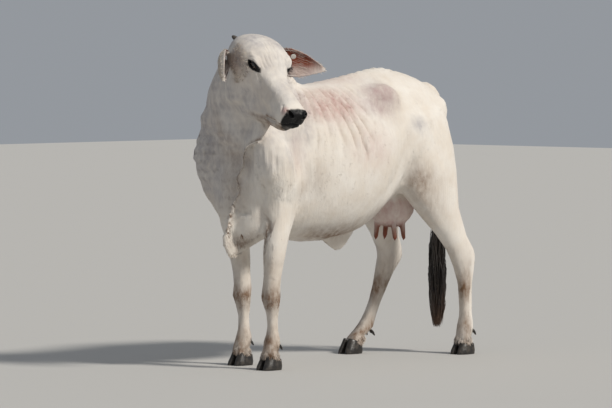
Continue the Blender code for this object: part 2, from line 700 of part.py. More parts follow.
def flesh_nodes(flesh):
    """The flesh parted into the head, neck, trunk and legs by thin plane cuts."""
    nodes = {}
    behind, backward = HEAD_BEHIND
    head_planes = [
        (in_head(*behind), head_way(*backward)),
        (in_head(0, 0, HEAD_FLOOR), head_way(0, 0, -1)),
        (in_head(0, HEAD_HALF_WIDTH, 0), head_way(0, 1, 0)),
    ]
    head = carved(flesh, head_planes, "head")
    groove = mouth_groove(head)
    jaw = carved(head, [(in_head(*MOUTH_AT), head_way(-MOUTH_RISE, 0, 1))], "lower_jaw")
    muzzle = carved(head, [(in_head(NOSE_START, 0, 0), head_way(-1, 0, 0))], "muzzle")
    for s in SIDE.values():
        cut(muzzle, nostril(s), "DIFFERENCE")
    for node in (jaw, muzzle, head):
        cut(node, copied(groove), "DIFFERENCE")
    bpy.data.objects.remove(groove)
    nodes.update(head=head, lower_jaw=jaw, muzzle=muzzle)
    nodes["neck"] = carved(flesh, [NECK_FOOT], "neck")
    slope_y, slope_z, slope_out, slope_up = FOREARM_SLOPE
    for side, s in SIDE.items():
        foot = FOOT["fore_" + side]
        elbow = elbow_x(side)
        leg = carved(
            flesh,
            [
                ((0, s * FOREARM_INSIDE, 0), (0, -s, 0)),
                ((0, s * slope_y, slope_z), (0, s * slope_out, slope_up)),
                ((elbow - FOREARM_BEHIND, 0, FOREARM_TOP), (-1, 0, 0.15)),
                ((elbow + FOREARM_AHEAD, 0, FOREARM_TOP), (1, 0, 0.05)),
                ((0, 0, FOREARM_TOP), (0, 0, 1)),
            ],
            "forearm_" + side,
        )
        knee = Vector((foot.x, 0, KNEE_HEIGHT))
        nodes["fore_cannon_" + side] = carved(leg, [(knee, (0.10, 0, 1))], "fore_cannon_" + side)
        nodes["forearm_" + side] = leg
        cut(nodes["fore_cannon_" + side], region([coronet("fore_" + side)]), "DIFFERENCE")
        inside = ((0, s * THIGH_INSIDE, 0), (0, -s, 0))
        leg = carved(flesh, [inside, THIGH_FRONT, ((THIGH_AHEAD, 0, 0), (1, 0, 0))], "thigh_" + side)
        shank = carved(leg, [(STIFLE_AT[side], (0.40, 0, 1))], "gaskin_" + side)
        hock = Vector((foot.x, 0, HOCK_HEIGHT))
        nodes["hind_cannon_" + side] = carved(shank, [(hock, (0.15, 0, 1))], "hind_cannon_" + side)
        cut(nodes["hind_cannon_" + side], region([coronet("hind_" + side)]), "DIFFERENCE")
        nodes["gaskin_" + side] = shank
        nodes["thigh_" + side] = leg
    hump_planes = [((0, 0, HUMP_FLOOR), (0, 0, -1)), ((HUMP_BEHIND, 0, 0), (-1, 0, 0))]
    nodes["hump"] = carved(flesh, hump_planes, "hump")
    nodes["rump"] = carved(flesh, [(RUMP_FRONT, (1, 0, TRUNK_LEAN))], "rump")
    nodes["chest"] = carved(flesh, [(CHEST_BACK, (-1, 0, -TRUNK_LEAN))], "chest")
    nodes["barrel"] = flesh
    return nodes


def copied(thing):
    """A bmesh of the object's mesh."""
    made = bmesh.new()
    made.from_mesh(thing.data)
    return made


def mouth_groove(head):
    """The thin slit between the lips, from the corner of the mouth round the front, as deep as the lips."""
    line = in_head(*MOUTH_AT)
    way = head_way(-MOUTH_RISE, 0, 1).normalized()
    planes = [
        (line + way * MOUTH_OPEN, way),
        (line - way * MOUTH_OPEN, -way),
        (line, head_way(-1, 0, 0)),
        (in_head(0, 0.150, 0), head_way(0, 1, 0)),
    ]
    slit = object_of(region(planes), "slit")
    return cut(slit, grown(head, -LIP_DEPTH), "DIFFERENCE")


def nostril(s):
    """The hollow of one nostril, a slanted comma that goes back into the nose."""
    middle = Vector((NOSTRIL_AT.x, s * NOSTRIL_AT.y, NOSTRIL_AT.z))
    return ball(middle, NOSTRIL_RADII, (s * -28, 0, s * -24), HEAD, 14, 10)


def coronet(foot):
    """The plane between a pastern and its claws, higher in front, with its way up."""
    return FOOT[foot] + Vector((CORONET_X, 0, CORONET_HEIGHT)), Vector((-CORONET_RISE, 0, 1.0))


def claws(foot, side):
    """The two claws of a foot, inner and outer: flat soles on the floor, with the cleft between them."""
    s = SIDE[side]
    nodes = {}
    spot = FOOT[foot + "_" + side]
    for name, out in (("outer", s), ("inner", -s)):
        rings = []
        for height, toe, heel, width, toe_in in CLAW_ROWS:
            ring = []
            for angle in np.arange(CLAW_SIDES) * 2 * math.pi / CLAW_SIDES:
                ahead, outward = math.cos(angle), math.sin(angle)
                reach = toe if ahead >= 0 else heel
                wide = width * (0.5 + 0.5 * math.copysign(abs(outward) ** 0.75, outward))
                x = reach * math.copysign(abs(ahead) ** 0.85, ahead)
                y = CLEFT / 2 + toe_in * max(ahead, 0) ** 2 + wide * (1 - 0.35 * max(ahead, 0) ** 3)
                ring.append(spot + Vector((x, out * y, height)))
            rings.append(ring)
        made = loft(rings)
        node = object_of(made, f"claw_{foot}_{side}_{name}")
        plane, way = coronet(foot + "_" + side)
        cut(node, region([(plane - way.normalized() * GAP, way)]), "INTERSECT")
        nodes[node.name] = node
    return nodes


def dewclaws(foot, side, near):
    """The pair of small horny points behind a fetlock."""
    nodes = {}
    spot = FOOT[foot + "_" + side]
    behind = DEWCLAW_AT[foot + "_" + side]
    for name, out in (("outer", SIDE[side]), ("inner", -SIDE[side])):
        base = Vector((behind.x, spot.y + out * DEWCLAW_APART + behind.y, behind.z))
        rings = []
        for t in np.arange(5) / 4:
            middle = base + Vector((-DEWCLAW_LENGTH * t, out * DEWCLAW_APART / 4 * t, -DEWCLAW_FALL * t * t))
            reach = DEWCLAW_RADIUS * math.sqrt(1 - 0.80 * t**3)
            tilt = Vector((0.35, 0, 0.94))
            rings.append(oval(middle, Vector((0, 1, 0)), tilt, 10, reach, reach, reach * 0.9))
        node = object_of(loft(rings), f"dewclaw_{foot}_{side}_{name}")
        nodes[node.name] = clear_of(node, near)
    return nodes


def clear_of(node, *near):
    """The node with its neighbours, grown by the gap, cut out of it, and only its largest surface kept."""
    for other in near:
        cut(node, grown(other, GAP), "DIFFERENCE")
    return largest(node)


def tube(path, sides):
    """A round tube along rows of x, y, z, radius."""
    rings = []
    for i, row in enumerate(path):
        ahead = Vector(path[min(i + 1, len(path) - 1)][:3]) - Vector(path[max(i - 1, 0)][:3])
        ahead.normalize()
        across = ahead.cross(Vector((0, 1, 0)) if abs(ahead.y) < 0.9 else Vector((1, 0, 0))).normalized()
        rings.append(oval(Vector(row[:3]), across, ahead.cross(across), sides, row[3], row[3], row[3]))
    return loft(rings)


def lock(root, tip, bow, width, thick, face, steps=4):
    """A flat tapered lock from root to tip, bowed sideways by bow, with its flat side toward face."""
    rings = []
    for i in range(steps + 1):
        t = i / steps
        middle = root.lerp(tip, t) + bow * (4 * t * (1 - t))
        ahead = (tip - root + bow * (4 - 8 * t)).normalized()
        across = ahead.cross(face).normalized()
        out = across.cross(ahead)
        taper = math.sin(math.pi * (0.30 + 0.66 * t))
        half, deep = width / 2 * taper, thick / 2 * (1 - 0.75 * t)
        rings.append([middle + across * half, middle + out * deep, middle - across * half, middle - out * deep])
    return loft(rings)


def tail_nodes(flesh):
    """The tail: an upper and a lower length of bone and skin, and the dark switch of long hair."""
    path = through(TAIL_PATH, 3)
    tail = object_of(tube(path, 12), "tail_lower")
    tail = clear_of(tail, flesh)
    upper = carved(tail, [((0, 0, TAIL_JOIN), (0, 0, -1))], "tail_upper")
    nodes = {"tail_upper": upper, "tail_lower": tail}
    draw = random.Random(SWITCH_SEED)
    pieces = [tube(through(SWITCH_CORE, 2), 10)]
    for i in range(SWITCH_LOCKS):
        share = i / (SWITCH_LOCKS - 1)
        angle = i * GOLDEN_ANGLE
        start = SWITCH_TOP - share * (SWITCH_TOP - SWITCH_BOTTOM - SWITCH_LOCK_LENGTH[0])
        length = draw.uniform(*SWITCH_LOCK_LENGTH)
        end = max(start - length, SWITCH_BOTTOM + draw.uniform(0.0, 0.05))
        out = Vector((math.cos(angle), math.sin(angle), 0))
        middle = Vector((SWITCH_X, 0, 0))
        swell = SWITCH_RADIUS * (0.55 + 0.45 * math.sin(math.pi * min(1.0, share * 0.8 + 0.15)))
        root = middle + out * SWITCH_ROOT_SUNK + Vector((0, 0, start))
        tip = middle + out * swell * draw.uniform(0.35, 0.95) + Vector((0, 0, end))
        bow = out * swell * draw.uniform(0.25, 0.45)
        pieces.append(lock(root, tip, bow, draw.uniform(*SWITCH_LOCK_WIDTH), SWITCH_LOCK_THICKNESS, out))
    switch = fused(pieces, "tail_switch")
    nodes["tail_switch"] = clear_of(switch, tail)
    return nodes


def ear_frame(side):
    """An ear's base, the way it points, the way across it and the way that its opening faces."""
    base = in_head(EAR_BASE.x, SIDE[side] * EAR_BASE.y, EAR_BASE.z)
    along = head_way(*EAR_WAY[side]).normalized()
    opening = head_way(*EAR_OPENING[side])
    opening = (opening - along * opening.dot(along)).normalized()
    return base, along, along.cross(opening), opening


def ear_wall(side, row, share, depth):
    """A point of an ear's wall: row says where along it, share where round the cup, depth how far in."""
    base, along, across, opening = ear_frame(side)
    t, half, sag, wrap, droop, _ = row
    reach = math.radians(wrap)
    sideways = math.sin(share * reach) / math.sin(min(reach, math.pi / 2))
    middle = base + along * (t * EAR_LENGTH) - Vector((0, 0, droop * EAR_LENGTH))
    return middle + across * ((half - depth) * sideways) - opening * ((sag - depth) * math.cos(share * reach))


def ear(side, head):
    """An ear: a leaf-shaped cup on a short tube, as thick as skin and gristle."""
    rings = []
    for row in through(EAR_ROWS, 2):
        shares = np.linspace(-1, 1, EAR_ARC)
        outer = [ear_wall(side, row, share, 0.0) for share in shares]
        inner = [ear_wall(side, row, share, row[5]) for share in shares]
        rings.append(outer + inner[::-1])
    return clear_of(object_of(loft(rings), "ear_" + side), head)


def ear_tag(ear_node):
    """A small round plastic tag: a disc on each side of the left ear and a pin through it, in one body."""
    row = next(row for row in through(EAR_ROWS, 4) if row[0] >= TAG_ALONG)
    inside = ear_wall("left", row, TAG_ACROSS, row[5])
    outside = ear_wall("left", row, TAG_ACROSS, 0.0)
    way = (inside - outside).normalized()
    across = way.cross(Vector((0, 0, 1))).normalized()
    upward = way.cross(across)
    front, back = TAG_SLACK + TAG_THICKNESS, -(row[5] + TAG_SLACK + TAG_THICKNESS)
    profile = [
        (front, TAG_RADIUS * 0.55), (front - TAG_EDGE, TAG_RADIUS), (TAG_SLACK + TAG_EDGE, TAG_RADIUS),
        (TAG_SLACK, TAG_PIN), (back + TAG_THICKNESS, TAG_PIN),
        (back + TAG_THICKNESS - TAG_EDGE, TAG_RADIUS), (back + TAG_EDGE, TAG_RADIUS), (back, TAG_RADIUS * 0.55),
    ]
    rings = [oval(inside + way * t, across, upward, 16, r, r, r) for t, r in profile]
    tag = object_of(loft(rings), "ear_tag")
    cut(ear_node, grown(tag, GAP), "DIFFERENCE", "MANIFOLD")
    largest(ear_node)
    return tag


def eye_parts(side, head):
    """The eyeball in its socket, with an upper and a lower lid round an almond opening cut into the head."""
    s = SIDE[side]
    middle = in_head(EYE_AT.x, s * EYE_AT.y, EYE_AT.z)
    gaze = head_way(EYE_GAZE.x, s * EYE_GAZE.y, EYE_GAZE.z).normalized()
    forward = head_way(1, 0, -0.18)
    forward = (forward - gaze * forward.dot(gaze)).normalized()
    upward = gaze.cross(forward) * s
    lids = ball(middle, (EYE_RADIUS + LID_THICKNESS,) * 3, segments=EYE_SIDES, rings=12)
    cut(head, lids, "UNION")
    rings = []
    for depth, flare in ((0.0, 0.80), (EYE_RADIUS + 0.030, 1.15)):
        ring = []
        for angle in np.arange(EYE_SIDES) * 2 * math.pi / EYE_SIDES:
            ahead, high = math.cos(angle), math.sin(angle)
            tall = EYE_OPEN_UP if high > 0 else EYE_OPEN_DOWN
            reach = EYE_OPEN_HALF * ahead + EYE_CORNER * max(ahead, 0) ** 4
            point = forward * reach + upward * (tall * high * (1 - 0.30 * ahead * ahead))
            ring.append(middle + gaze * depth + point * flare)
        rings.append(ring)
    cut(head, loft(rings), "DIFFERENCE")
    cut(head, ball(middle, (EYE_RADIUS + GAP,) * 3, segments=EYE_SIDES, rings=12), "DIFFERENCE")
    return object_of(ball(middle, (EYE_RADIUS,) * 3, segments=EYE_SIDES, rings=12), "eye_" + side)


def horn(side, head):
    """A short blunt horn bud beside the poll."""
    s = SIDE[side]
    base = in_head(HORN_AT.x, s * HORN_AT.y, HORN_AT.z)
    way = head_way(HORN_WAY.x, s * HORN_WAY.y, HORN_WAY.z).normalized()
    rings = []
    across = way.cross(Vector((0, 0, 1))).normalized()
    for t, radius in HORN_ROWS:
        rings.append(oval(base + way * t, across, way.cross(across), 12, radius, radius, radius))
    return clear_of(object_of(loft(rings), "horn_" + side), head)


def dewlap_nodes(near):
    """The hanging fold of skin from under the jaw to the brisket, in two lengths."""
    rings = []
    rows = through(DEWLAP_ROWS, 3)
    for i, row in enumerate(rows):
        root, edge = Vector(row[:3]), Vector(row[3:6])
        ahead = Vector(rows[min(i + 1, len(rows) - 1)][3:6]) - Vector(rows[max(i - 1, 0)][3:6])
        down = (edge - root).normalized()
        side = ahead.cross(down).normalized()
        wave = side * (row[6] * math.sin(i * DEWLAP_WAVE))
        ring = []
        for share, half in ((0.0, 0.030), (0.45, 0.018), (0.75, 0.010), (0.95, 0.008)):
            ring.append(root.lerp(edge, share) + side * half + wave * share)
        ring.append(edge + wave)
        for share, half in ((0.95, 0.008), (0.75, 0.010), (0.45, 0.018), (0.0, 0.030)):
            ring.append(root.lerp(edge, share) - side * half + wave * share)
        rings.append(ring)
    fold = clear_of(object_of(loft(rings), "dewlap_neck"), *near)
    lower = carved(fold, [((0, 0, DEWLAP_JOIN), (0, 0, 1))], "dewlap_brisket")
    return {"dewlap_neck": largest(fold), "dewlap_brisket": largest(lower)}


def belly_nodes(flesh):
    """The navel flap, the udder and its four teats."""
    nodes = {}
    rings = []
    for x, drop, half in through(NAVEL_ROWS, 2):
        profile = [(1.8, -0.120), (1.0, drop - 0.035), (0.55, drop - 0.007)]
        ring = [Vector((x, half * out, BELLY_HEIGHT - low)) for out, low in profile]
        ring.append(Vector((x, 0, BELLY_HEIGHT - drop)))
        ring += [Vector((x, -half * out, BELLY_HEIGHT - low)) for out, low in profile[::-1]]
        rings.append(ring)
    nodes["navel_flap"] = clear_of(object_of(loft(rings), "navel_flap"), flesh)
    bag = ball(UDDER_AT, UDDER_RADII, (0, 6, 0), segments=24, rings=14)
    nodes["udder"] = clear_of(object_of(bag, "udder"), flesh)
    for end, x in (("fore", TEAT_FORE_X), ("hind", TEAT_HIND_X)):
        for side, s in SIDE.items():
            top = Vector((x, s * TEAT_Y, TEAT_TOP))
            path = [(top.x, top.y + s * 0.012 * t, top.z - TEAT_LENGTH * t, r) for t, r in TEAT_ROWS]
            node = object_of(tube(path, 12), f"teat_{end}_{side}")
            nodes[node.name] = clear_of(node, nodes["udder"])
    return nodes


def material(name, colour, roughness, metallic=0.0):
    """A Principled material with this colour, roughness and metallic value."""
    made = bpy.data.materials.new(name)
    made.use_nodes = True
    shader = made.node_tree.nodes["Principled BSDF"]
    shader.inputs["Base Color"].default_value = (*colour, 1.0)
    shader.inputs["Roughness"].default_value = roughness
    shader.inputs["Metallic"].default_value = metallic
    return made


def look(name):
    """The colour and roughness of a node, by its name."""
    for start, colour, roughness in LOOKS:
        if name.startswith(start):
            return colour, roughness
    return COAT_LOOK


def build():
    flesh = whole_flesh()
    whole = copy_of(flesh, "whole")
    nodes = flesh_nodes(flesh)
    head = nodes["head"]
    for side in SIDE:
        nodes["eye_" + side] = eye_parts(side, head)
        nodes["ear_" + side] = ear(side, whole)
        nodes["horn_" + side] = horn(side, whole)
        for foot in ("fore", "hind"):
            nodes.update(claws(foot, side))
            nodes.update(dewclaws(foot, side, whole))
    nodes["ear_tag"] = ear_tag(nodes["ear_left"])
    nodes.update(dewlap_nodes([whole]))
    nodes.update(belly_nodes(whole))
    nodes.update(tail_nodes(whole))
    bpy.data.objects.remove(whole)
    for name, node in nodes.items():
        node.name = name
        node.data.transform(Matrix.Translation(-BOX_MIDDLE))
        colour, roughness = look(name)
        node.data.materials.clear()
        node.data.materials.append(material(name, colour, roughness))
        node.data.shade_smooth()
        node.data.set_sharp_from_angle(angle=math.radians(SHARP_ANGLE))


for old in list(bpy.data.objects):
    bpy.data.objects.remove(old)
build()
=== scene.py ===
# %% [markdown]
# # A Nelore cow, life size
# This notebook dresses the solids of a white Nelore cow that stands and turns its head to its left.
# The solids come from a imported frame: they give every place and size, and each new piece is fitted to them.
# One skin covers all the flesh. Horns, eyes, claws and the long hair of the tail are pieces of their own.

# %% Load the solids
import math

import bmesh
import bpy
import numpy as np
from mathutils import Euler, Matrix, Vector
from mathutils.bvhtree import BVHTree


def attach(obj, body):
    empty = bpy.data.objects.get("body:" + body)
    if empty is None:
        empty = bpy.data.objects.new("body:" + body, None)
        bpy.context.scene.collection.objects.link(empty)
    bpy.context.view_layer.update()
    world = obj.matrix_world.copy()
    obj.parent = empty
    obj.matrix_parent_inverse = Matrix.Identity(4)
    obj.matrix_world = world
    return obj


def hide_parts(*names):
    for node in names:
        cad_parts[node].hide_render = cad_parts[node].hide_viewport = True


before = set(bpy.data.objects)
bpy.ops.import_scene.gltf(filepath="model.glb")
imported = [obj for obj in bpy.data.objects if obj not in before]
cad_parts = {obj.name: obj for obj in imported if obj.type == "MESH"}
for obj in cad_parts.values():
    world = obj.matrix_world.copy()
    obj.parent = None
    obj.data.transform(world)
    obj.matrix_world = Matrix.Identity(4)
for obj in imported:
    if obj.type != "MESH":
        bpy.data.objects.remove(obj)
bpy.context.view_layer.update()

# %% [markdown]
# ## Places on the body
# The origin is on the floor under the middle of the cow, +X runs toward the chest and +Y to its left.
# The head has a frame of its own, with x from the poll to the nose, y to the cow's left and z out of the
# forehead. Features of the face are easier to name there, and one matrix then carries them to the body.

# %% Frames of the body and the head
BODY_SHIFT = Vector((-0.0996, -0.1235, 0.0))
HEAD = (
    Matrix.Translation(Vector((0.706, 0.146, 1.608)) + BODY_SHIFT)
    @ Matrix.Rotation(math.radians(78.0), 4, "Z")
    @ Matrix.Rotation(math.radians(40.0), 4, "Y")
    @ Matrix.Rotation(math.radians(-2.0), 4, "X")
    @ Matrix.Diagonal((0.97, 1.05, 1.05, 1.0))
)
SIDES = {"left": 1, "right": -1}


def on_body(x, y, z):
    """A point that is given from the cow's midline."""
    return Vector((x, y, z)) + BODY_SHIFT


def in_head(x, y, z):
    """A point that is given in the head's frame."""
    return HEAD @ Vector((x, y, z))


def head_way(x, y, z):
    """A unit direction that is given in the head's frame."""
    return (HEAD.to_3x3() @ Vector((x, y, z))).normalized()


print("nose at", [round(v, 3) for v in in_head(0.56, 0, -0.06)])

# %% [markdown]
# ## Small tools for meshes
# A solid of the frame comes as loose triangles, so a copy is welded before it is worked on. The skin is
# shaped as arrays of points, because a brush that moves a hundred thousand points is quick in numpy.
# Relaxing pulls each point toward the middle of its neighbours and then pushes it back a little, which
# takes out facets but keeps the volume, so thin legs stay as thick as they are.

# %% Mesh helpers
def welded(name):
    """A bmesh copy of a solid with its corners joined."""
    made = bmesh.new()
    made.from_mesh(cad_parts[name].data)
    bmesh.ops.remove_doubles(made, verts=made.verts, dist=1e-5)
    bmesh.ops.recalc_face_normals(made, faces=made.faces)
    return made


def object_from(made, name):
    """A scene object over a bmesh, which is used up."""
    mesh = bpy.data.meshes.new(name)
    made.to_mesh(mesh)
    made.free()
    thing = bpy.data.objects.new(name, mesh)
    bpy.context.scene.collection.objects.link(thing)
    return thing


def settled(thing):
    """The object with its modifiers applied."""
    graph = bpy.context.evaluated_depsgraph_get()
    mesh = bpy.data.meshes.new_from_object(thing.evaluated_get(graph))
    old = thing.data
    thing.modifiers.clear()
    thing.data = mesh
    bpy.data.meshes.remove(old)
    return thing


def remeshed(thing, voxel):
    """The object as one even skin of small squares."""
    remesh = thing.modifiers.new("Remesh", "REMESH")
    remesh.mode = "VOXEL"
    remesh.voxel_size = voxel
    return settled(thing)


def cut(thing, made, operation):
    """The object after a Boolean with a bmesh, which is used up."""
    tool = object_from(made, "tool")
    boolean = thing.modifiers.new("Boolean", "BOOLEAN")
    boolean.operation = operation
    boolean.solver = "MANIFOLD"
    boolean.object = tool
    settled(thing)
    bpy.data.objects.remove(tool)
    return thing


def column(items, field, width, kind=float):
    """One field of all of a mesh's items, as an array with a row for each."""
    found = np.empty(len(items) * width, dtype=kind)
    items.foreach_get(field, found)
    return found.reshape(-1, width)


def points_of(thing):
    return column(thing.data.vertices, "co", 3)


def normals_of(thing):
    return column(thing.data.vertex_normals, "vector", 3)


def centres_of(thing):
    return column(thing.data.polygons, "center", 3)


def edges_of(thing):
    return column(thing.data.edges, "vertices", 2, np.int64)


def set_points(thing, points):
    thing.data.vertices.foreach_set("co", points.ravel())
    thing.data.update()


def relaxed(points, edges, share, rounds, push=0.5, pull=-0.53):
    """The points after rounds of relaxing, each as far as its share from 0 to 1 says."""
    first, second = edges[:, 0], edges[:, 1]
    count = np.bincount(edges.ravel(), minlength=len(points))[:, None]
    for _ in range(rounds):
        for factor in (push, pull):
            total = np.stack(
                [
                    np.bincount(first, points[second, k], len(points))
                    + np.bincount(second, points[first, k], len(points))
                    for k in range(3)
                ],
                axis=1,
            )
            points = points + (total / count - points) * (factor * share[:, None])
    return points


print("helpers ready")

# %% [markdown]
# ## Brushes
# Three brushes do most of the modelling: a soft swell, a groove along a line, and rows of shallow waves. Each is a
# mask, and times a depth in metres it says how far every point moves along its normal. The same masks are used
# again for the colours, so that a fold and its shade always lie at the same place.

# %% Brush helpers
def soft(distance, reach):
    """1 in the middle, falling smoothly to 0 at reach."""
    share = np.clip(distance / reach, 0, 1)
    return (1 - share * share) ** 2


def ramp(value, low, high):
    """0 below low, 1 above high, smooth between them."""
    share = np.clip((value - low) / (high - low), 0, 1)
    return share * share * (3 - 2 * share)


def round_mask(points, middle, radii):
    """A soft mask inside an egg shape."""
    return soft(np.linalg.norm((points - np.array(middle)) / np.array(radii), axis=1), 1.0)


def around(points, middle, reach):
    """A soft mask around a place."""
    return soft(np.linalg.norm(points - np.array(middle), axis=1), reach)


def folded(points):
    """The points with the cow's right side folded onto its left, for brushes that work on both."""
    return points * np.array([1, 0, 1]) + np.abs(points) * np.array([0, 1, 0])


def through(corners, steps=6):
    """Points along a smooth curve through the corners."""
    corners = np.array([list(corner) for corner in corners])
    ends = np.vstack([2 * corners[0] - corners[1], corners, 2 * corners[-1] - corners[-2]])
    found = []
    for a, b, c, d in zip(ends, ends[1:], ends[2:], ends[3:]):
        for t in np.arange(steps) / steps:
            cubic = (2 * a - 5 * b + 4 * c - d) * t**2 + (3 * b - a - 3 * c + d) * t**3
            found.append(0.5 * (2 * b + (c - a) * t + cubic))
    return np.array(found + [corners[-1]])


def line_distance(points, corners):
    """Each point's distance from a smooth line laid on them, and how far along it is, from 0 to 1."""
    path = np.array([points[np.argmin(np.sum((points - corner) ** 2, axis=1))] for corner in through(corners)])
    best = np.full(len(points), 1e9)
    where = np.zeros(len(points))
    for i in range(len(path) - 1):
        start, way = path[i], path[i + 1] - path[i]
        share = np.clip(((points - start) @ way) / max(way @ way, 1e-12), 0, 1)
        distance = np.linalg.norm(points - start - share[:, None] * way, axis=1)
        nearer = distance < best
        best[nearer] = distance[nearer]
        where[nearer] = (i + share[nearer]) / (len(path) - 1)
    return best, where


def groove(points, corners, width, fade=0.15):
    """A mask along a line that is 1 on it and fades at its ends."""
    room = 3 * width + 0.02
    near = np.all((points > np.min(corners, axis=0) - room) & (points < np.max(corners, axis=0) + room), axis=1)
    mask = np.zeros(len(points))
    if not near.any():
        return mask
    distance, where = line_distance(points[near], corners)
    mask[near] = np.exp(-((distance / width) ** 2)) * ramp(where, 0, fade) * ramp(1 - where, 0, fade)
    return mask


def wobble(points, scale, seed=0.0):
    """A smooth uneven value between about -1 and 1, from a few crossed waves."""
    x, y, z = (points / scale).T
    return (
        np.sin(x * 1.7 + 1.3 * np.sin(y * 1.1 + seed) + seed)
        + np.sin(y * 2.3 + 1.7 * np.sin(z * 0.9 + 2 * seed) + 2.1)
        + np.sin(z * 1.9 + 1.1 * np.sin(x * 1.3 + 3 * seed) + 4.2)
    ) / 3


print("brushes ready")

# %% [markdown]
# ## Eyes, nostrils and ears in numbers
# A cow's eye looks sideways and a little forward. Its lids are the skin over the ball with an almond opening, so
# one small frame at each eye says where the ball is, where it looks, and which way the corners lie. The skin is
# made whole over eyes and nostrils first, and they are opened again when it is fine enough to keep sharp rims.

# %% Frames of the eyes
EYE_AT = (0.228, 0.0835, -0.019)
EYE_RADIUS = 0.0225
LID_THICKNESS = 0.0052
EYE_HALF = 0.0235
EYE_UP = 0.0140
EYE_DOWN = 0.0114
EYE_CORNER = 0.0120
NOSTRIL_AT = (0.556, 0.037, -0.049)
NOSTRIL_RADII = (0.030, 0.0105, 0.0170)
EAR_BASE = (0.048, 0.094, -0.126)
EAR_WAY = {"left": (0.318, 0.934, 0.162), "right": (0.741, -0.572, 0.335)}
EAR_OPENING = {"left": (0.62, -0.46, 0.63), "right": (0.68, 0.58, 0.45)}
EAR_LENGTH = 0.318


def eye_frame(s):
    """Where an eye's middle is, where it looks, the way to its inner corner and the way up."""
    middle = in_head(EYE_AT[0], s * EYE_AT[1], EYE_AT[2])
    gaze = head_way(0.26, s * 0.92, 0.26)
    forward = head_way(1, 0, -0.18)
    forward = (forward - gaze * forward.dot(gaze)).normalized()
    return middle, gaze, forward, gaze.cross(forward) * s


def ear_frame(side):
    """Where an ear's root is, the way it points, and the way that its opening faces."""
    base = in_head(EAR_BASE[0], SIDES[side] * EAR_BASE[1], EAR_BASE[2])
    along, opening = head_way(*EAR_WAY[side]), head_way(*EAR_OPENING[side])
    return base, along, (opening - along * opening.dot(along)).normalized()


def ball(middle, radii, turn=(0, 0, 0), place=Matrix.Identity(4), segments=32):
    """An egg shape, turned by degrees and then placed by a matrix."""
    turned = Euler([math.radians(angle) for angle in turn]).to_matrix().to_4x4()
    made = bmesh.new()
    matrix = place @ Matrix.Translation(middle) @ turned @ Matrix.Diagonal((*radii, 1))
    bmesh.ops.create_uvsphere(made, u_segments=segments, v_segments=segments // 2, radius=1, matrix=matrix)
    bmesh.ops.recalc_face_normals(made, faces=made.faces)
    return made


def nostril(s, grow=1.0):
    """The hollow of a nostril, as an egg that slants inward."""
    radii = [radius * grow for radius in NOSTRIL_RADII]
    return ball((NOSTRIL_AT[0], s * NOSTRIL_AT[1], NOSTRIL_AT[2]), radii, (s * -28, 0, s * -24), HEAD)


print("eyes at", [[round(v, 3) for v in eye_frame(s)[0]] for s in SIDES.values()])

# %% [markdown]
# ## The skin
# On the animal one skin runs over everything from the nose to the hocks. The solids part it into named
# lengths with fine gaps, so their copies are swelled by less than half a millimetre to close the gaps, and a
# voxel remesh grows them into one surface. Relaxing takes the facets out, most on the broad trunk and least
# on the legs and the face. One subdivision then makes it fine enough for folds.

# %% Grow the skin over the solids
LEG_PARTS = ["forearm", "fore_cannon", "thigh", "gaskin", "hind_cannon"]
FLESH = ["head", "lower_jaw", "muzzle", "neck", "hump", "chest", "barrel", "rump", "dewlap_neck",
         "dewlap_brisket", "navel_flap", "udder", "tail_upper", "tail_lower"]
FLESH += [f"{part}_{side}" for part in LEG_PARTS for side in SIDES]
FLESH += [f"teat_{end}_{side}" for end in ("fore", "hind") for side in SIDES]
SWELL = 0.0004
SKIN_VOXEL = 0.008


def add_to(whole, made):
    """Adds one bmesh, which is used up, to another."""
    mesh = bpy.data.meshes.new("part")
    made.to_mesh(mesh)
    made.free()
    whole.from_mesh(mesh)
    bpy.data.meshes.remove(mesh)


whole = bmesh.new()
for name in FLESH:
    part = welded(name)
    part.normal_update()
    for vertex in part.verts:
        vertex.co += vertex.normal * SWELL
    add_to(whole, part)
for s in SIDES.values():
    add_to(whole, ball(eye_frame(s)[0], [EYE_RADIUS + LID_THICKNESS] * 3))
    add_to(whole, nostril(s, 1.12))
skin = remeshed(object_from(whole, "skin"), SKIN_VOXEL)
print("skin", len(skin.data.vertices), "points")

# %% Relax it
def head_frame(points):
    """The points in the head's frame."""
    turn = np.array(HEAD.to_3x3().inverted())
    return (points - np.array(HEAD.translation)) @ turn.T


def body_frame(points):
    """The points from the cow's midline."""
    return points - np.array(BODY_SHIFT)


def off_head(points, near=0.30, far=0.42):
    """0 on the head, 1 away from it."""
    return ramp(np.linalg.norm(head_frame(points) - np.array([0.25, 0, -0.13]), axis=1), near, far)


points = points_of(skin)
edges = edges_of(skin)
body = body_frame(points)
on_trunk = ramp(body[:, 2], 0.56, 0.74) * off_head(points)
behind_tail = ramp(-body[:, 0], 0.74, 0.78) * soft(np.abs(body[:, 1]), 0.06)
on_trunk *= 1 - ramp(behind_tail, 0.1, 0.4)
dewlap_share = ramp(body[:, 0], 0.66, 0.70) * soft(np.abs(body[:, 1] - 0.04), 0.09)
on_trunk *= 1 - 0.8 * dewlap_share
points = relaxed(points, edges, np.ones(len(points)), 6)
points = relaxed(points, edges, on_trunk, 45)
set_points(skin, points)
subdivide = skin.modifiers.new("Subdivision", "SUBSURF")
subdivide.levels = subdivide.render_levels = 1
settled(skin)
print("skin", len(skin.data.vertices), "points after subdivision")

# %% [markdown]
# ## Folds and hollows of the body
# Nelore skin is thin and loose. It hangs in soft folds on the neck and brisket, creases behind the shoulder in
# a fan that starts at the withers, and sinks in before the hip, where the flank is hollow. Each of these is a
# brush with a place, a width and a depth in metres. The rim of the dewlap is the sharpest fold, so the skin is
# subdivided once more along it before the folds are pressed in.

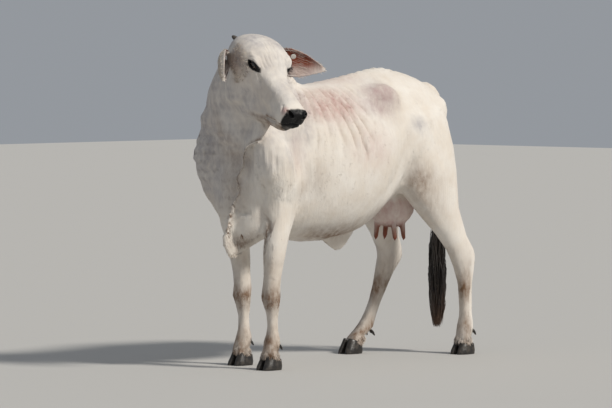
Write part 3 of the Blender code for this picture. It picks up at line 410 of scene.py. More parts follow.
# %% Shape the trunk
def flank_creases(points):
    """The creases that fan out from the withers over the ribs, 1 in their depths."""
    x, y, z = body_frame(points).T
    fan = np.arctan2(x - 0.228, 1.595 - z)
    creases = (0.5 + 0.5 * np.sin(fan * 47 + 2.2 * wobble(points, 0.14) + 0.8 * wobble(points, 0.05, 2.0))) ** 3
    creases *= 0.45 + 0.65 * ramp(wobble(points, 0.12, 4.0), -0.5, 0.4)
    flank = ramp(x, -0.12, 0.06) * ramp(0.395 - x, 0, 0.05) * ramp(z, 0.92, 1.10) * ramp(1.365 - z, 0, 0.05)
    return creases * flank * ramp(np.abs(y), 0.04, 0.10)


def canvas(thing):
    """What brushes work on: points, normals, points from the midline, these folded to the left, and zeros."""
    points = points_of(thing)
    plain = body_frame(points)
    return points, normals_of(thing), plain, folded(plain), np.zeros(len(points))


points, normals, plain, mirrored, out = canvas(skin)
x, y, z = plain.T
away = off_head(points, 0.26, 0.36)

out -= 0.0115 * flank_creases(points)
out += 0.024 * round_mask(plain, (0.60, -0.19, 0.80), (0.11, 0.11, 0.14))
out += 0.034 * round_mask(plain, (0.66, -0.17, 1.185), (0.13, 0.12, 0.085))

turn = np.arctan2(y - 0.02, x - 0.47)
neck = ramp(x, 0.50, 0.60) * ramp(z, 0.72, 0.86) * ramp(1.42 - z, 0, 0.10) * away
out -= 0.0050 * neck * (0.5 + 0.5 * np.sin(turn * 22 + 1.0 * wobble(points, 0.30, 1.0))) ** 2
out -= 0.0022 * neck * (0.5 + 0.5 * np.sin(turn * 57 + 1.4 * wobble(points, 0.22, 2.0)))

ribs = ramp(x, -0.22, -0.12) * ramp(0.34 - x, 0, 0.06) * ramp(z, 0.72, 0.90) * ramp(1.28 - z, 0, 0.10)
out -= 0.0022 * ribs * (0.5 + 0.5 * np.sin((x + 0.28 * (z - 1.0)) / 0.058 * 2 * math.pi)) ** 1.5

BONES = [  # how far out, the middle and the radii of a swell or hollow on both sides
    (-0.020, (-0.170, 0.215, 1.265), (0.115, 0.10, 0.105)),  # the hollow flank
    (0.006, (-0.225, 0.165, 1.365), (0.10, 0.09, 0.06)),  # the hip bone
    (-0.010, (-0.500, 0.175, 1.250), (0.15, 0.09, 0.09)),  # the hollow behind it
    (0.007, (-0.690, 0.120, 1.235), (0.07, 0.06, 0.06)),  # the pin bone
    (-0.007, (-0.660, 0.175, 0.960), (0.05, 0.06, 0.17)),  # the back of the thigh
]
for far, middle, radii in BONES:
    out += far * round_mask(mirrored, middle, radii)
LOIN_EDGE = [(-0.02, 0.045, 1.36), (-0.16, 0.05, 1.40), (-0.32, 0.05, 1.42), (-0.50, 0.045, 1.41)]
out -= 0.005 * groove(mirrored, LOIN_EDGE, 0.020)
spine = soft(y, 0.030) * ramp(x, -0.62, -0.52) * ramp(0.18 - x, 0, 0.1) * ramp(z, 1.28, 1.32)
out += 0.0025 * spine * np.sin(x / 0.055 * 2 * math.pi)
print("trunk shaped, deepest", round(float(out.min()), 4))

# %% Shape the folds that lie along lines
DEWLAP_RIM = [(0.727, y, z) for y, z in [
    (0.251, 1.110), (0.231, 1.089), (0.154, 1.074), (0.111, 1.037), (0.098, 0.961), (0.075, 0.909), (0.057, 0.828),
    (0.047, 0.795), (0.069, 0.767), (0.061, 0.748), (-0.013, 0.730), (-0.027, 0.715), (0.011, 0.693), (0.033, 0.673),
    (0.019, 0.660), (-0.028, 0.648), (-0.041, 0.613),
]]
BESIDE_RIM = [(x, y + 0.016, z - 0.004) for x, y, z in DEWLAP_RIM]
BEFORE_RIM = [(x, y - 0.012, z + 0.003) for x, y, z in DEWLAP_RIM]
BRISKET_CREASE = [(0.627, 0.139, 0.746), (0.616, 0.168, 0.714), (0.615, 0.180, 0.676), (0.621, 0.160, 0.637),
                  (0.612, 0.078, 0.615)]


def refined(thing, chosen):
    """The object with the chosen faces subdivided once."""
    made = bmesh.new()
    made.from_mesh(thing.data)
    made.faces.ensure_lookup_table()
    edges = {edge for i in np.nonzero(chosen)[0].tolist() for edge in made.faces[i].edges}
    bmesh.ops.subdivide_edges(made, edges=list(edges), cuts=1, use_grid_fill=True)
    made.to_mesh(thing.data)
    made.free()
    return thing


near_rim = groove(body_frame(centres_of(skin)), DEWLAP_RIM, 0.026, 0.01)
set_points(skin, points + normals * out[:, None])
refined(skin, near_rim > 0.15)
points, normals, plain, mirrored, out = canvas(skin)
x, y, z = plain.T
away = off_head(points, 0.26, 0.36)
LINES = [  # how far out, the width, 1 for both sides, and the corners of a fold
    (-0.007, 0.013, 0, [(0.446, 0.217, 1.010), (0.437, 0.228, 0.900), (0.430, 0.215, 0.810), (0.420, 0.200, 0.740)]),
    (-0.005, 0.010, 0, [(0.408, 0.235, 0.990), (0.398, 0.245, 0.890), (0.388, 0.230, 0.790)]),
    (-0.004, 0.009, 0, [(0.370, 0.250, 0.960), (0.358, 0.255, 0.870), (0.345, 0.245, 0.780)]),
    (-0.009, 0.013, 0, [(0.655, 0.180, 0.900), (0.643, 0.165, 0.820), (0.632, 0.145, 0.740), (0.600, 0.120, 0.670)]),
    (0.006, 0.016, 0, [(0.628, 0.205, 0.980), (0.622, 0.205, 0.900), (0.615, 0.195, 0.830)]),
    (-0.005, 0.012, 0, [(0.560, 0.215, 1.120), (0.540, 0.235, 1.030), (0.520, 0.238, 0.940), (0.500, 0.230, 0.860)]),
    (0.008, 0.016, 1, [(-0.345, 0.225, 1.060), (-0.320, 0.215, 0.980), (-0.290, 0.200, 0.900),
                       (-0.230, 0.180, 0.820), (-0.12, 0.17, 0.74)]),
    (-0.009, 0.014, 1, [(-0.375, 0.220, 1.010), (-0.360, 0.200, 0.930), (-0.350, 0.170, 0.860)]),
    (-0.006, 0.014, 1, [(-0.285, 0.240, 1.030), (-0.255, 0.225, 0.950), (-0.205, 0.210, 0.870), (-0.12, 0.20, 0.80)]),
    (-0.006, 0.015, 1, [(-0.660, 0.150, 1.150), (-0.690, 0.165, 1.040), (-0.690, 0.180, 0.930),
                        (-0.700, 0.190, 0.820)]),
    (-0.005, 0.012, 1, [(-0.500, 0.225, 1.150), (-0.520, 0.235, 1.030), (-0.560, 0.235, 0.920)]),
    (0.0090, 0.0075, 0, DEWLAP_RIM),
    (0.0070, 0.0075, 0, DEWLAP_RIM[:9]),
    (-0.0090, 0.0100, 0, BESIDE_RIM),
    (-0.0065, 0.0065, 0, BEFORE_RIM),
    (-0.0090, 0.0095, 0, BRISKET_CREASE),
    (-0.0060, 0.0200, 0, [(x, y + 0.026, z) for x, y, z in DEWLAP_RIM[1:8]]),
    (-0.006, 0.010, 0, [(0.690, 0.180, 1.040), (0.672, 0.160, 0.970), (0.660, 0.145, 0.890)]),
    (-0.006, 0.010, 0, [(0.735, -0.030, 1.150), (0.715, -0.020, 1.040), (0.705, -0.015, 0.930),
                        (0.695, -0.015, 0.830)]),
    (-0.008, 0.012, 0, [(0.690, 0.000, 0.770), (0.675, 0.060, 0.745), (0.655, 0.110, 0.750)]),
    (-0.006, 0.012, 1, [(0.330, 0.110, 1.330), (0.350, 0.160, 1.260), (0.385, 0.200, 1.180), (0.430, 0.220, 1.090)]),
    (-0.004, 0.010, 1, [(0.430, 0.130, 1.300), (0.455, 0.175, 1.210), (0.480, 0.210, 1.110)]),
]
for depth, width, both, line in LINES:
    out += depth * groove(mirrored if both else plain, line, width)
CANNONS = [  # x and y of the foot, the height of the cannon's top, and how far the cannon leans back toward it
    (0.605, 0.170, 0.30, 0.0), (-0.765, 0.200, 0.36, -0.020),
    (0.490, -0.130, 0.30, 0.0), (-0.400, -0.225, 0.36, -0.13),
]
for foot_x, foot_y, top, lean in CANNONS:
    for aside in (0.028, -0.028):
        tendon = [(foot_x - 0.020 + lean * t, foot_y + aside, top - 0.17 * (1 - t)) for t in (0.0, 0.5, 1.0)]
        out -= 0.0050 * groove(plain, tendon, 0.008)
points = points + normals * out[:, None]
wave = ramp(x, 0.66, 0.71) * ramp(z, 0.64, 0.74) * ramp(1.20 - z, 0, 0.1) * soft(y - 0.04, 0.11) * away
points[:, 1] += 0.007 * wave * np.sin(z / 0.105 * 2 * math.pi + 0.8)
points[:, 0] += 0.003 * wave * soft(y - 0.05, 0.03) * np.sin(z / 0.043 * 2 * math.pi)
set_points(skin, points)
set_points(skin, relaxed(points_of(skin), edges_of(skin), 0.9 * groove(plain, DEWLAP_RIM, 0.018, 0.01), 4))
print("folds shaped, box", [round(v, 3) for v in points.min(axis=0)], [round(v, 3) for v in points.max(axis=0)])

# %% [markdown]
# ## Ears and openings of the head
# The ears are thin cups, too thin for the coarse voxels, so each is remeshed finely by itself, sunk into the
# head and joined by one union. The lids are a ball a few millimetres larger than the eye, with the almond cut out
# of it, and the nostrils are slanted eggs. Before the cuts the faces round the eyes and the muzzle are subdivided
# once more.

# %% Join the ears
EAR_VOXEL = 0.0026
SINK_WITHIN, SINK_DEPTH = 0.006, 0.014
flesh = bmesh.new()
for name in ("head", "neck"):
    add_to(flesh, welded(name))
near_flesh = BVHTree.FromBMesh(flesh)
flesh.free()
for side in SIDES:
    ear = remeshed(object_from(welded("ear_" + side), "ear"), EAR_VOXEL)
    ear_points = relaxed(points_of(ear), edges_of(ear), np.ones(len(ear.data.vertices)), 5)
    base = ear_frame(side)[0]
    for i, point in enumerate(ear_points):
        gap = near_flesh.find_nearest(Vector(point))[3]
        if gap < SINK_WITHIN:
            ear_points[i] += np.array((base - Vector(point)).normalized()) * SINK_DEPTH * (1 - gap / SINK_WITHIN)
    set_points(ear, ear_points)
    made = bmesh.new()
    made.from_mesh(ear.data)
    bpy.data.objects.remove(ear)
    cut(skin, made, "UNION")
print("skin with ears", len(skin.data.vertices), "points")

# %% Open the eyes and nostrils
def almond(s):
    """The opening between the lids, as a block that points out of the eye."""
    middle, gaze, forward, upward = eye_frame(s)
    made = bmesh.new()
    bmesh.ops.create_circle(made, cap_ends=True, segments=44, radius=1)
    front = bmesh.ops.extrude_face_region(made, geom=made.faces[:], use_keep_orig=True)["geom"]
    outer = {part for part in front if isinstance(part, bmesh.types.BMVert)}
    for vertex in made.verts:
        ahead, high = vertex.co.x, vertex.co.y
        reach = EYE_HALF * ahead + EYE_CORNER * max(ahead, 0) ** 4
        tall = (EYE_UP if high > 0 else EYE_DOWN) * high * (1 - 0.32 * ahead * ahead)
        depth, flare = (EYE_RADIUS + 0.03, 1.18) if vertex in outer else (0.0, 0.80)
        vertex.co = middle + gaze * depth + (forward * reach + upward * tall) * flare
    bmesh.ops.recalc_face_normals(made, faces=made.faces)
    return made


def near_eyes(points, reach):
    """A soft mask around both eyes."""
    return sum(around(points, eye_frame(s)[0], reach) for s in SIDES.values())


def near_root(side):
    """A soft mask around the root of an ear."""
    base, along, _ = ear_frame(side)
    return around(points_of(skin), base + along * 0.035, 0.075)


def relax_near(share, rounds):
    """Relaxes the skin where a mask says."""
    set_points(skin, relaxed(points_of(skin), edges_of(skin), share, rounds))


relax_near(np.minimum(1, 1.5 * sum(near_root(side) for side in SIDES)), 12)
for s in SIDES.values():
    cut(skin, ball(eye_frame(s)[0], [EYE_RADIUS + LID_THICKNESS] * 3, segments=48), "UNION")
relax_near(np.minimum(1, 1.6 * near_eyes(points_of(skin), 0.055)), 10)
centres = centres_of(skin)
face = head_frame(centres)
nose = (face[:, 0] > 0.44) & (np.abs(face[:, 1]) < 0.12) & (np.abs(face[:, 2] + 0.1) < 0.14)
refined(skin, (near_eyes(centres, 0.060) > 0.02) | nose)
for s in SIDES.values():
    cut(skin, almond(s), "DIFFERENCE")
    cut(skin, ball(eye_frame(s)[0], [EYE_RADIUS + 0.0003] * 3, segments=48), "DIFFERENCE")
    cut(skin, nostril(s), "DIFFERENCE")
print("skin with openings", len(skin.data.vertices), "points")

# %% [markdown]
# ## The face
# The bones lie close under the skin here: the ridge over the eye, the crest down the cheek, the flat bridge of
# the nose. The lips part in a long line that runs up toward the cheek, and a crease follows it. The forehead has
# short oblique wrinkles. Every brush works on both sides, because a face is symmetric.

# %% Shape the face
points, normals = points_of(skin), normals_of(skin)
face = head_frame(points)
paired = folded(face)
on_head = 1 - off_head(points, 0.40, 0.46)
out = np.zeros(len(points))
FACE_LINES = [  # how far out, the width and the corners
    (-0.0075, 0.0046, [(0.400, 0.050, -0.186), (0.452, 0.054, -0.161), (0.509, 0.054, -0.134),
                       (0.556, 0.045, -0.112), (0.583, 0.018, -0.100), (0.588, -0.015, -0.098)]),
    (0.0045, 0.0090, [(0.410, 0.056, -0.168), (0.460, 0.060, -0.145), (0.515, 0.060, -0.118),
                      (0.556, 0.050, -0.095)]),
    (0.0035, 0.0085, [(0.430, 0.050, -0.196), (0.480, 0.052, -0.172), (0.525, 0.048, -0.150)]),
    (-0.0050, 0.0085, [(0.270, 0.066, -0.262), (0.320, 0.056, -0.238), (0.372, 0.048, -0.210),
                       (0.405, 0.048, -0.190)]),
    (0.0035, 0.0100, [(0.285, 0.078, -0.235), (0.335, 0.066, -0.210), (0.385, 0.058, -0.185)]),
    (-0.0040, 0.0120, [(0.100, 0.085, -0.285), (0.150, 0.085, -0.255), (0.205, 0.080, -0.215),
                       (0.240, 0.090, -0.160)]),
    (0.0050, 0.0140, [(0.262, 0.098, -0.070), (0.310, 0.086, -0.098), (0.370, 0.068, -0.115),
                      (0.430, 0.058, -0.118)]),
    (-0.0045, 0.0150, [(0.290, 0.086, -0.050), (0.345, 0.068, -0.065), (0.420, 0.055, -0.075)]),
    (0.0040, 0.0110, [(0.165, 0.092, 0.008), (0.205, 0.098, 0.012), (0.245, 0.094, 0.002), (0.275, 0.084, -0.012)]),
    (-0.0040, 0.0060, [(0.490, 0.052, -0.040), (0.520, 0.060, -0.062), (0.540, 0.062, -0.090)]),
]
for depth, width, line in FACE_LINES:
    out += depth * groove(paired, line, width, 0.10)
WRINKLES = [
    [(0.150, 0.004, 0.040), (0.205, 0.004, 0.030), (0.248, 0.012, 0.014)],
    [(0.176, 0.030, 0.034), (0.230, 0.024, 0.018), (0.284, 0.010, -0.004)],
    [(0.120, 0.020, 0.046), (0.165, 0.018, 0.038), (0.200, 0.016, 0.030)],
    [(0.195, 0.048, 0.024), (0.240, 0.044, 0.012), (0.275, 0.034, -0.002)],
    [(0.215, 0.066, 0.014), (0.250, 0.062, 0.004), (0.280, 0.052, -0.010)],
]
for line in WRINKLES:
    out -= 0.0021 * groove(paired, line, 0.0045, 0.25)
    out += 0.0010 * groove(paired, [(a, b + 0.009, c) for a, b, c in line], 0.0050, 0.25)
out -= 0.007 * round_mask(paired, (0.150, 0.118, -0.045), (0.050, 0.035, 0.035))
out += 0.004 * round_mask(paired, (0.560, 0.060, -0.050), (0.026, 0.020, 0.026))
out -= 0.003 * soft(face[:, 1], 0.010) * ramp(face[:, 0], 0.545, 0.560) * ramp(-face[:, 2], 0.05, 0.07)
for s in SIDES.values():
    middle, gaze, forward, upward = (np.array(part) for part in eye_frame(s))
    seen = points - middle
    ahead, high = seen @ forward, seen @ upward
    level = np.sqrt(((ahead - 0.004) / 0.030) ** 2 + (high / 0.0215) ** 2)
    near = soft(np.linalg.norm(seen, axis=1), 0.075)
    out -= 0.0030 * near * np.exp(-(((level - 1.32) / 0.11) ** 2))
    out += 0.0014 * near * np.exp(-(((level - 1.62) / 0.12) ** 2))
    out -= 0.0014 * near * np.exp(-(((level - 1.95) / 0.12) ** 2))
    tear = [(EYE_AT[0] + ahead, s * aside, high) for ahead, aside, high in
            ((0.032, 0.088, -0.030), (0.060, 0.080, -0.046), (0.085, 0.074, -0.060))]
    out -= 0.0030 * groove(face, tear, 0.0060)
grain = 0.0007 * wobble(face, 0.0065) * ramp(face[:, 0], 0.530, 0.548) * ramp(0.12 - np.abs(face[:, 1]), 0, 0.02)
points = points + normals * ((out + grain) * on_head)[:, None]
set_points(skin, points)
relax_near(0.6 * near_eyes(points, 0.040), 2)
print("face shaped")

# %% Thin it for the export
SKIN_TRIANGLES = 192000
face = head_frame(points_of(skin))
group = skin.vertex_groups.new(name="coarse")
body = body_frame(points_of(skin))
on_face = (np.abs(face[:, 1]) < 0.42) & (face[:, 0] > -0.05) & (off_head(points_of(skin), 0.36, 0.40) < 0.5)
detail = on_face | (near_eyes(points_of(skin), 0.06) > 0)
detail |= groove(body, DEWLAP_RIM, 0.020, 0.01) > 0.2
group.add(np.nonzero(detail)[0].tolist(), 0.80, "REPLACE")
group.add(np.nonzero(~detail)[0].tolist(), 1.0, "REPLACE")
limit = skin.modifiers.new("Decimate", "DECIMATE")
limit.ratio = SKIN_TRIANGLES / (len(skin.data.loops) - 2 * len(skin.data.polygons))
limit.vertex_group = group.name
limit.vertex_group_factor = 1.0
limit.use_collapse_triangulate = True
settled(skin)
skin.vertex_groups.clear()
skin.data.shade_smooth()
print("skin", len(skin.data.polygons), "faces")

# %% [markdown]
# ## Markings
# The coat is white over dark skin. It greys in soft patches over the withers, the hollow flank and before the hip,
# and reddens over the ribs and the udder. It is stained brown at the knees, fetlocks and chin, and is browner along
# the bottom of the brisket. The grey on the lower neck is a little real grey with painted shade over it, most on the
# neck's right side. Brown is painted shade on the front of the lower neck, beside the rim of the dewlap, in the
# creases of the brisket, flank and cheek, at the stifle, on the thighs and low on the barrel; under the belly it also
# paints a warm reflection from the floor. The brown along the lip line is partly dark lip and partly painted shade in
# the mouth's crease. Each marking is a mask from 0 to 1 that is worked out from a point's place, so the skin and
# every tuft on it take the same colour at the same place.

# %% Masks for the markings
def spots(points, places):
    """The strongest of several soft egg-shaped masks."""
    return np.max([share * round_mask(points, middle, radii) for share, middle, radii in places], axis=0)


def in_ear(points, normals, side):
    """How surely a point lies on the inside of an ear, and how far along the ear it is."""
    base, along, opening = (np.array(part) for part in ear_frame(side))
    seen = points - base
    reach = (seen @ along) / EAR_LENGTH
    wide = np.linalg.norm(seen - np.outer(seen @ along, along), axis=1)
    there = ramp(reach, 0.20, 0.27) * ramp(1.04 - reach, 0, 0.02) * ramp(0.115 - wide, 0, 0.01)
    return there, reach, normals @ opening


def markings(points, normals):
    """Every marking's mask at the points."""
    x, y, z = body_frame(points).T
    plain = body_frame(points)
    mirrored = folded(plain)
    face = head_frame(points)
    paired = folded(face)
    head = 1 - off_head(points, 0.40, 0.46)
    uneven = wobble(points, 0.035) + 0.6 * wobble(points, 0.012, 3.0)
    drawn_down = points * np.array([1, 1, 0.16])
    streaks = wobble(drawn_down, 0.020, 1.0) + 0.6 * wobble(drawn_down, 0.009, 2.0)
    muzzle = head * ramp(0.115 - np.abs(face[:, 1]), 0, 0.02) * ramp(face[:, 2] + 0.215, 0, 0.02)
    found = {}
    grey = spots(mirrored, [
        (0.66, (-0.150, 0.205, 1.305), (0.20, 0.15, 0.17)), (0.60, (-0.395, 0.225, 1.150), (0.09, 0.08, 0.07)),
        (0.30, (0.50, 0.0, 1.30), (0.20, 0.20, 0.16)),
    ])
    # The lower neck's front and right side stand in shade: its grey is a little real grey with painted shade in it,
    # and the right side gets a stronger strip of painted shade.
    shaded_neck = ramp(x, 0.55, 0.68) * ramp(z, 0.70, 0.85) * ramp(0.14 - y, 0, 0.12) * off_head(points, 0.26, 0.34)
    crown = head * np.maximum(0.42 * ramp(0.26 - face[:, 0], 0, 0.14), 0.26 * ramp(0.52 - face[:, 0], 0, 0.05))
    cheeks = 0.42 * head * ramp(-face[:, 2], 0.05, 0.16) * ramp(0.42 - face[:, 0], 0, 0.12)
    right_neck_shade = shaded_neck * ramp(-y, 0.02, 0.10)
    found["grey"] = np.clip(np.maximum.reduce([
        grey * (1 + 0.35 * uneven), (0.30 * shaded_neck + 0.25 * right_neck_shade) * (1 + 0.22 * streaks),
        crown * (1 + 0.5 * uneven), cheeks * (1 + 0.4 * uneven),
    ]), 0, 1)
    chin = head * ramp(-face[:, 2] + 0.47 * (face[:, 0] - 0.395), 0.186, 0.205) * ramp(face[:, 0], 0.30, 0.40)
    chin *= ramp(face[:, 2], -0.27, -0.25) * ramp(0.11 - np.abs(face[:, 1]), 0, 0.02)
    lip_line = [(0.395, 0.050, -0.190), (0.452, 0.055, -0.162), (0.509, 0.055, -0.135), (0.560, 0.045, -0.112)]
    cheek_line = [(0.255, 0.070, -0.275), (0.320, 0.056, -0.240), (0.372, 0.048, -0.212), (0.405, 0.048, -0.190)]
    # Brown along the lip line is partly dark lip and partly painted shade in the mouth's crease; brown along the
    # cheek's crease is painted shade.
    lip, cheek = groove(paired, lip_line, 0.008), groove(paired, cheek_line, 0.013)
    # The first spot browns the bottom of the brisket; the second is painted shade by the brisket crease; the third
    # browns the folds behind the elbow.
    brown = spots(plain, [
        (0.62, (0.650, 0.020, 0.605), (0.11, 0.18, 0.050)), (0.30, (0.645, 0.150, 0.720), (0.05, 0.05, 0.07)),
        (0.35, (0.430, 0.235, 0.850), (0.05, 0.06, 0.10)),
    ])
    rim = groove(plain, DEWLAP_RIM, 0.0048, 0.02)
    # Painted shade in brown: the shadow in the groove beside the dewlap's rim, a thin dark line before it, and the
    # shade in the brisket's crease.
    rim_and_crease_shade = np.maximum.reduce([
        groove(plain, BESIDE_RIM, 0.0120, 0.06), 1.10 * groove(plain, BEFORE_RIM, 0.0058, 0.04),
        0.62 * groove(plain, BRISKET_CREASE, 0.0085),
    ])
    # Painted shade in warm brown over the front of the lower neck.
    neck_painted_shade = 0.26 * shaded_neck * (1 - right_neck_shade) * (1 + 0.3 * streaks)
    # The flank's creases are browned in their depths as painted shade.
    brown = np.maximum.reduce([brown, neck_painted_shade, rim_and_crease_shade, 0.38 * flank_creases(points)])
    # Painted shade in brown at the stifle, low on the barrel and on the thighs, and under the belly, where it also
    # paints a warm reflection from the floor.
    brown = np.maximum(brown, spots(mirrored, [
        (0.70, (-0.405, 0.220, 0.880), (0.12, 0.10, 0.13)), (0.72, (0.10, 0.12, 0.610), (0.38, 0.19, 0.12)),
        (0.50, (-0.20, 0.16, 0.72), (0.14, 0.13, 0.10)), (0.40, (-0.70, 0.16, 0.80), (0.08, 0.09, 0.16)),
        (0.42, (-0.50, 0.20, 0.80), (0.16, 0.12, 0.20)),
        (0.30, (0.36, 0.26, 0.90), (0.12, 0.10, 0.14)),
    ]))
    legs = 0.80 * np.exp(-(((z - 0.335) / 0.042) ** 2)) + 0.55 * np.exp(-(((z - 0.125) / 0.045) ** 2))
    legs += 0.25 * ramp(0.10 - z, 0, 0.03)
    legs += 0.22 * ramp(0.62 - z, 0, 0.15)
    brown = np.maximum(brown, legs * (1 - ramp(z, 0.5, 0.6)) * (x > -0.78))
    brown = np.maximum.reduce([brown, 0.75 * chin, 0.9 * lip * head, 0.50 * cheek * head])
    found["brown"] = np.clip(brown * (1 + 0.5 * uneven) * (1 - rim), 0, 1)
    found["grey"] = found["grey"] * (1 - rim)
    pink = spots(mirrored, [
        (0.85, (0.17, 0.18, 1.26), (0.30, 0.20, 0.15)), (0.34, (-0.02, 0.26, 1.05), (0.25, 0.15, 0.16)),
        (0.45, (0.05, 0.05, 1.40), (0.34, 0.16, 0.08)), (0.50, (-0.16, 0.19, 1.30), (0.18, 0.14, 0.16)),
        (0.28, (0.47, 0.20, 1.02), (0.10, 0.12, 0.16)),
    ])
    ring = around(paired, (0.528, 0.056, -0.050), 0.034)
    udder = ramp(0.80 - z, 0, 0.05) * round_mask(mirrored, (-0.45, 0.0, 0.72), (0.17, 0.16, 0.17))
    pink = np.maximum.reduce([pink, 0.8 * ring * head, 0.62 * ramp(udder, 0.02, 0.12)])
    found["pink"] = np.clip(pink * (1 + 0.25 * uneven), 0, 1)
    to_nose = face[:, 0] + 0.02 * (-0.05 - face[:, 2]) - 0.35 * np.maximum(np.abs(face[:, 1]) - 0.030, 0)
    dark = muzzle * ramp(to_nose + 0.003 * wobble(points, 0.010), 0.532, 0.541)
    for s in SIDES.values():
        middle, gaze, forward, upward = (np.array(part) for part in eye_frame(s))
        seen = points - middle
        ahead, high, deep = seen @ forward, seen @ upward, seen @ gaze
        level = ((ahead - 0.0105) / 0.0410) ** 2 + np.abs(high - 0.0008 + 0.10 * ahead) / 0.0188
        rims = ramp(1.12 - level, 0, 0.16) * ramp(deep, -0.012, 0.004) * ramp(0.06 - np.abs(deep), 0, 0.02)
        dark = np.maximum(dark, rims)
        tube = points - np.array(in_head(NOSTRIL_AT[0], s * NOSTRIL_AT[1], NOSTRIL_AT[2]))
        dark = np.maximum(dark, ramp(0.026 - np.linalg.norm(tube, axis=1), 0, 0.008) * head)
    found["dark"] = np.clip(dark, 0, 1)
    found["wet"] = muzzle * ramp(face[:, 0], 0.50, 0.52)
    teats = ramp(0.662 - z, 0, 0.03) * (z > 0.55) * (x < -0.36) * (x > -0.52) * (np.abs(y) < 0.09)
    found["brown"] = np.maximum(found["brown"], 0.85 * teats)
    orange = 0.90 * teats
    for side in SIDES:
        there, reach, facing = in_ear(points, normals, side)
        base, along = (np.array(part) for part in ear_frame(side)[:2])
        down = np.array([0, 0, -1]) + along * along[2]
        low = ramp((points - base) @ (down / np.linalg.norm(down)), -0.005, 0.040)
        inside = there * ramp(facing, 0.50, 0.80)
        faded = inside * (1 - 0.55 * low * ramp(reach, 0.3, 0.5))
        orange = np.maximum(orange, faded * (1 - 0.5 * ramp(reach, 0.72, 0.95)))
        pit = inside * ramp(0.46 + 0.12 * low - reach, 0, 0.16)
        found["dark"] = np.maximum(found["dark"], 0.75 * pit)
    found["orange"] = np.clip(orange, 0, 1)
    pleat = ramp(x, 0.36, 0.44) * ramp(z, 0.70, 0.82) * ramp(1.25 - z, 0, 0.12) * ramp(np.abs(y), 0.03, 0.09)
    found["pleat"] = np.maximum(pleat * off_head(points, 0.26, 0.34), 0.35 * ramp(z, 0.56, 0.70))
    return found


def store(thing, masks):
    """Keeps the masks on a mesh as one number a point, under their names."""
    for name, values in masks.items():
        kept = thing.data.attributes.new(name, "FLOAT", "POINT")
        kept.data.foreach_set("value", np.asarray(values, dtype=np.float32))


store(skin, markings(points_of(skin), normals_of(skin)))
print("masks", [a.name for a in skin.data.attributes if a.data_type == "FLOAT"])

# %% [markdown]
# ## Finishes
# One node group turns the masks into a coat colour: white hair with a little mottling, and the markings over it.
# A second group is the short fur as height, fine streaks that run down the body, stronger in the pleats of the
# shoulder. Both groups serve the skin and the tufts. Naked, wet or horny parts have finishes of their own.

# %% Node helpers
def feed(tree, socket, value):
    """Links a socket or sets a plain value."""
    if isinstance(value, bpy.types.NodeSocket):
        tree.links.new(value, socket)
    else:
        socket.default_value = value


def mixed(tree, share, first, second):
    """A blend of two colours."""
    node = tree.nodes.new("ShaderNodeMix")
    node.data_type = "RGBA"
    for socket, value in ((node.inputs[0], share), (node.inputs[6], first), (node.inputs[7], second)):
        feed(tree, socket, value)
    return node.outputs[2]


def calc(tree, operation, first, second=0.0):
    """A sum, product or other step between two numbers."""
    node = tree.nodes.new("ShaderNodeMath")
    node.operation = operation
    feed(tree, node.inputs[0], first)
    feed(tree, node.inputs[1], second)
    return node.outputs[0]


def spread(tree, value, low, high, new_low=0.0, new_high=1.0):
    """A number moved from one range to another and held there."""
    node = tree.nodes.new("ShaderNodeMapRange")
    for i, part in enumerate((value, low, high, new_low, new_high)):
        feed(tree, node.inputs[i], part)
    return node.outputs[0]


def noise(tree, place, scale, detail=3.0, rough=0.5, stretch=(1, 1, 1)):
    """Noise at a place, finer along the ways that are stretched more."""
    mapping = tree.nodes.new("ShaderNodeMapping")
    mapping.inputs["Scale"].default_value = stretch
    feed(tree, mapping.inputs["Vector"], place)
    node = tree.nodes.new("ShaderNodeTexNoise")
    node.inputs["Scale"].default_value = scale
    node.inputs["Detail"].default_value = detail
    node.inputs["Roughness"].default_value = rough
    tree.links.new(mapping.outputs[0], node.inputs["Vector"])
    return node.outputs["Fac"]


def new_group(name, inputs, outputs):
    """An empty node group with its sockets, and its input and output nodes."""
    group = bpy.data.node_groups.new(name, "ShaderNodeTree")
    for kind, sockets in (("INPUT", inputs), ("OUTPUT", outputs)):
        for label, socket in sockets:
            group.interface.new_socket(label, in_out=kind, socket_type=socket)
    return group, group.nodes.new("NodeGroupInput"), group.nodes.new("NodeGroupOutput")


def material(name, roughness):
    """A new material, its tree, its shader and the object's own coordinates."""
    made = bpy.data.materials.new(name)
    made.use_nodes = True
    tree = made.node_tree
    shader = tree.nodes["Principled BSDF"]
    shader.inputs["Roughness"].default_value = roughness
    return made, tree, shader, tree.nodes.new("ShaderNodeTexCoord").outputs["Object"]


def bump(tree, shader, height, strength, distance):
    """Feeds a height to the shader as bump."""
    node = tree.nodes.new("ShaderNodeBump")
    node.inputs["Strength"].default_value = strength
    node.inputs["Distance"].default_value = distance
    feed(tree, node.inputs["Height"], height)
    tree.links.new(node.outputs[0], shader.inputs["Normal"])


print("node helpers ready")

# %% The groups for coat colour and fur
WHITE = (0.770, 0.725, 0.665, 1)
CREAM = (0.660, 0.575, 0.480, 1)
# Grey and brown colour real markings and stains, and also painted shade where their masks put it.
GREY_AND_SHADE = (0.300, 0.285, 0.310, 1)
BROWN_STAIN_AND_SHADE = (0.185, 0.105, 0.058, 1)
PINK = (0.480, 0.300, 0.275, 1)
DARK = (0.0040, 0.0035, 0.0040, 1)
ORANGE = (0.185, 0.040, 0.016, 1)
MASKS = ("grey", "brown", "pink", "orange", "dark")

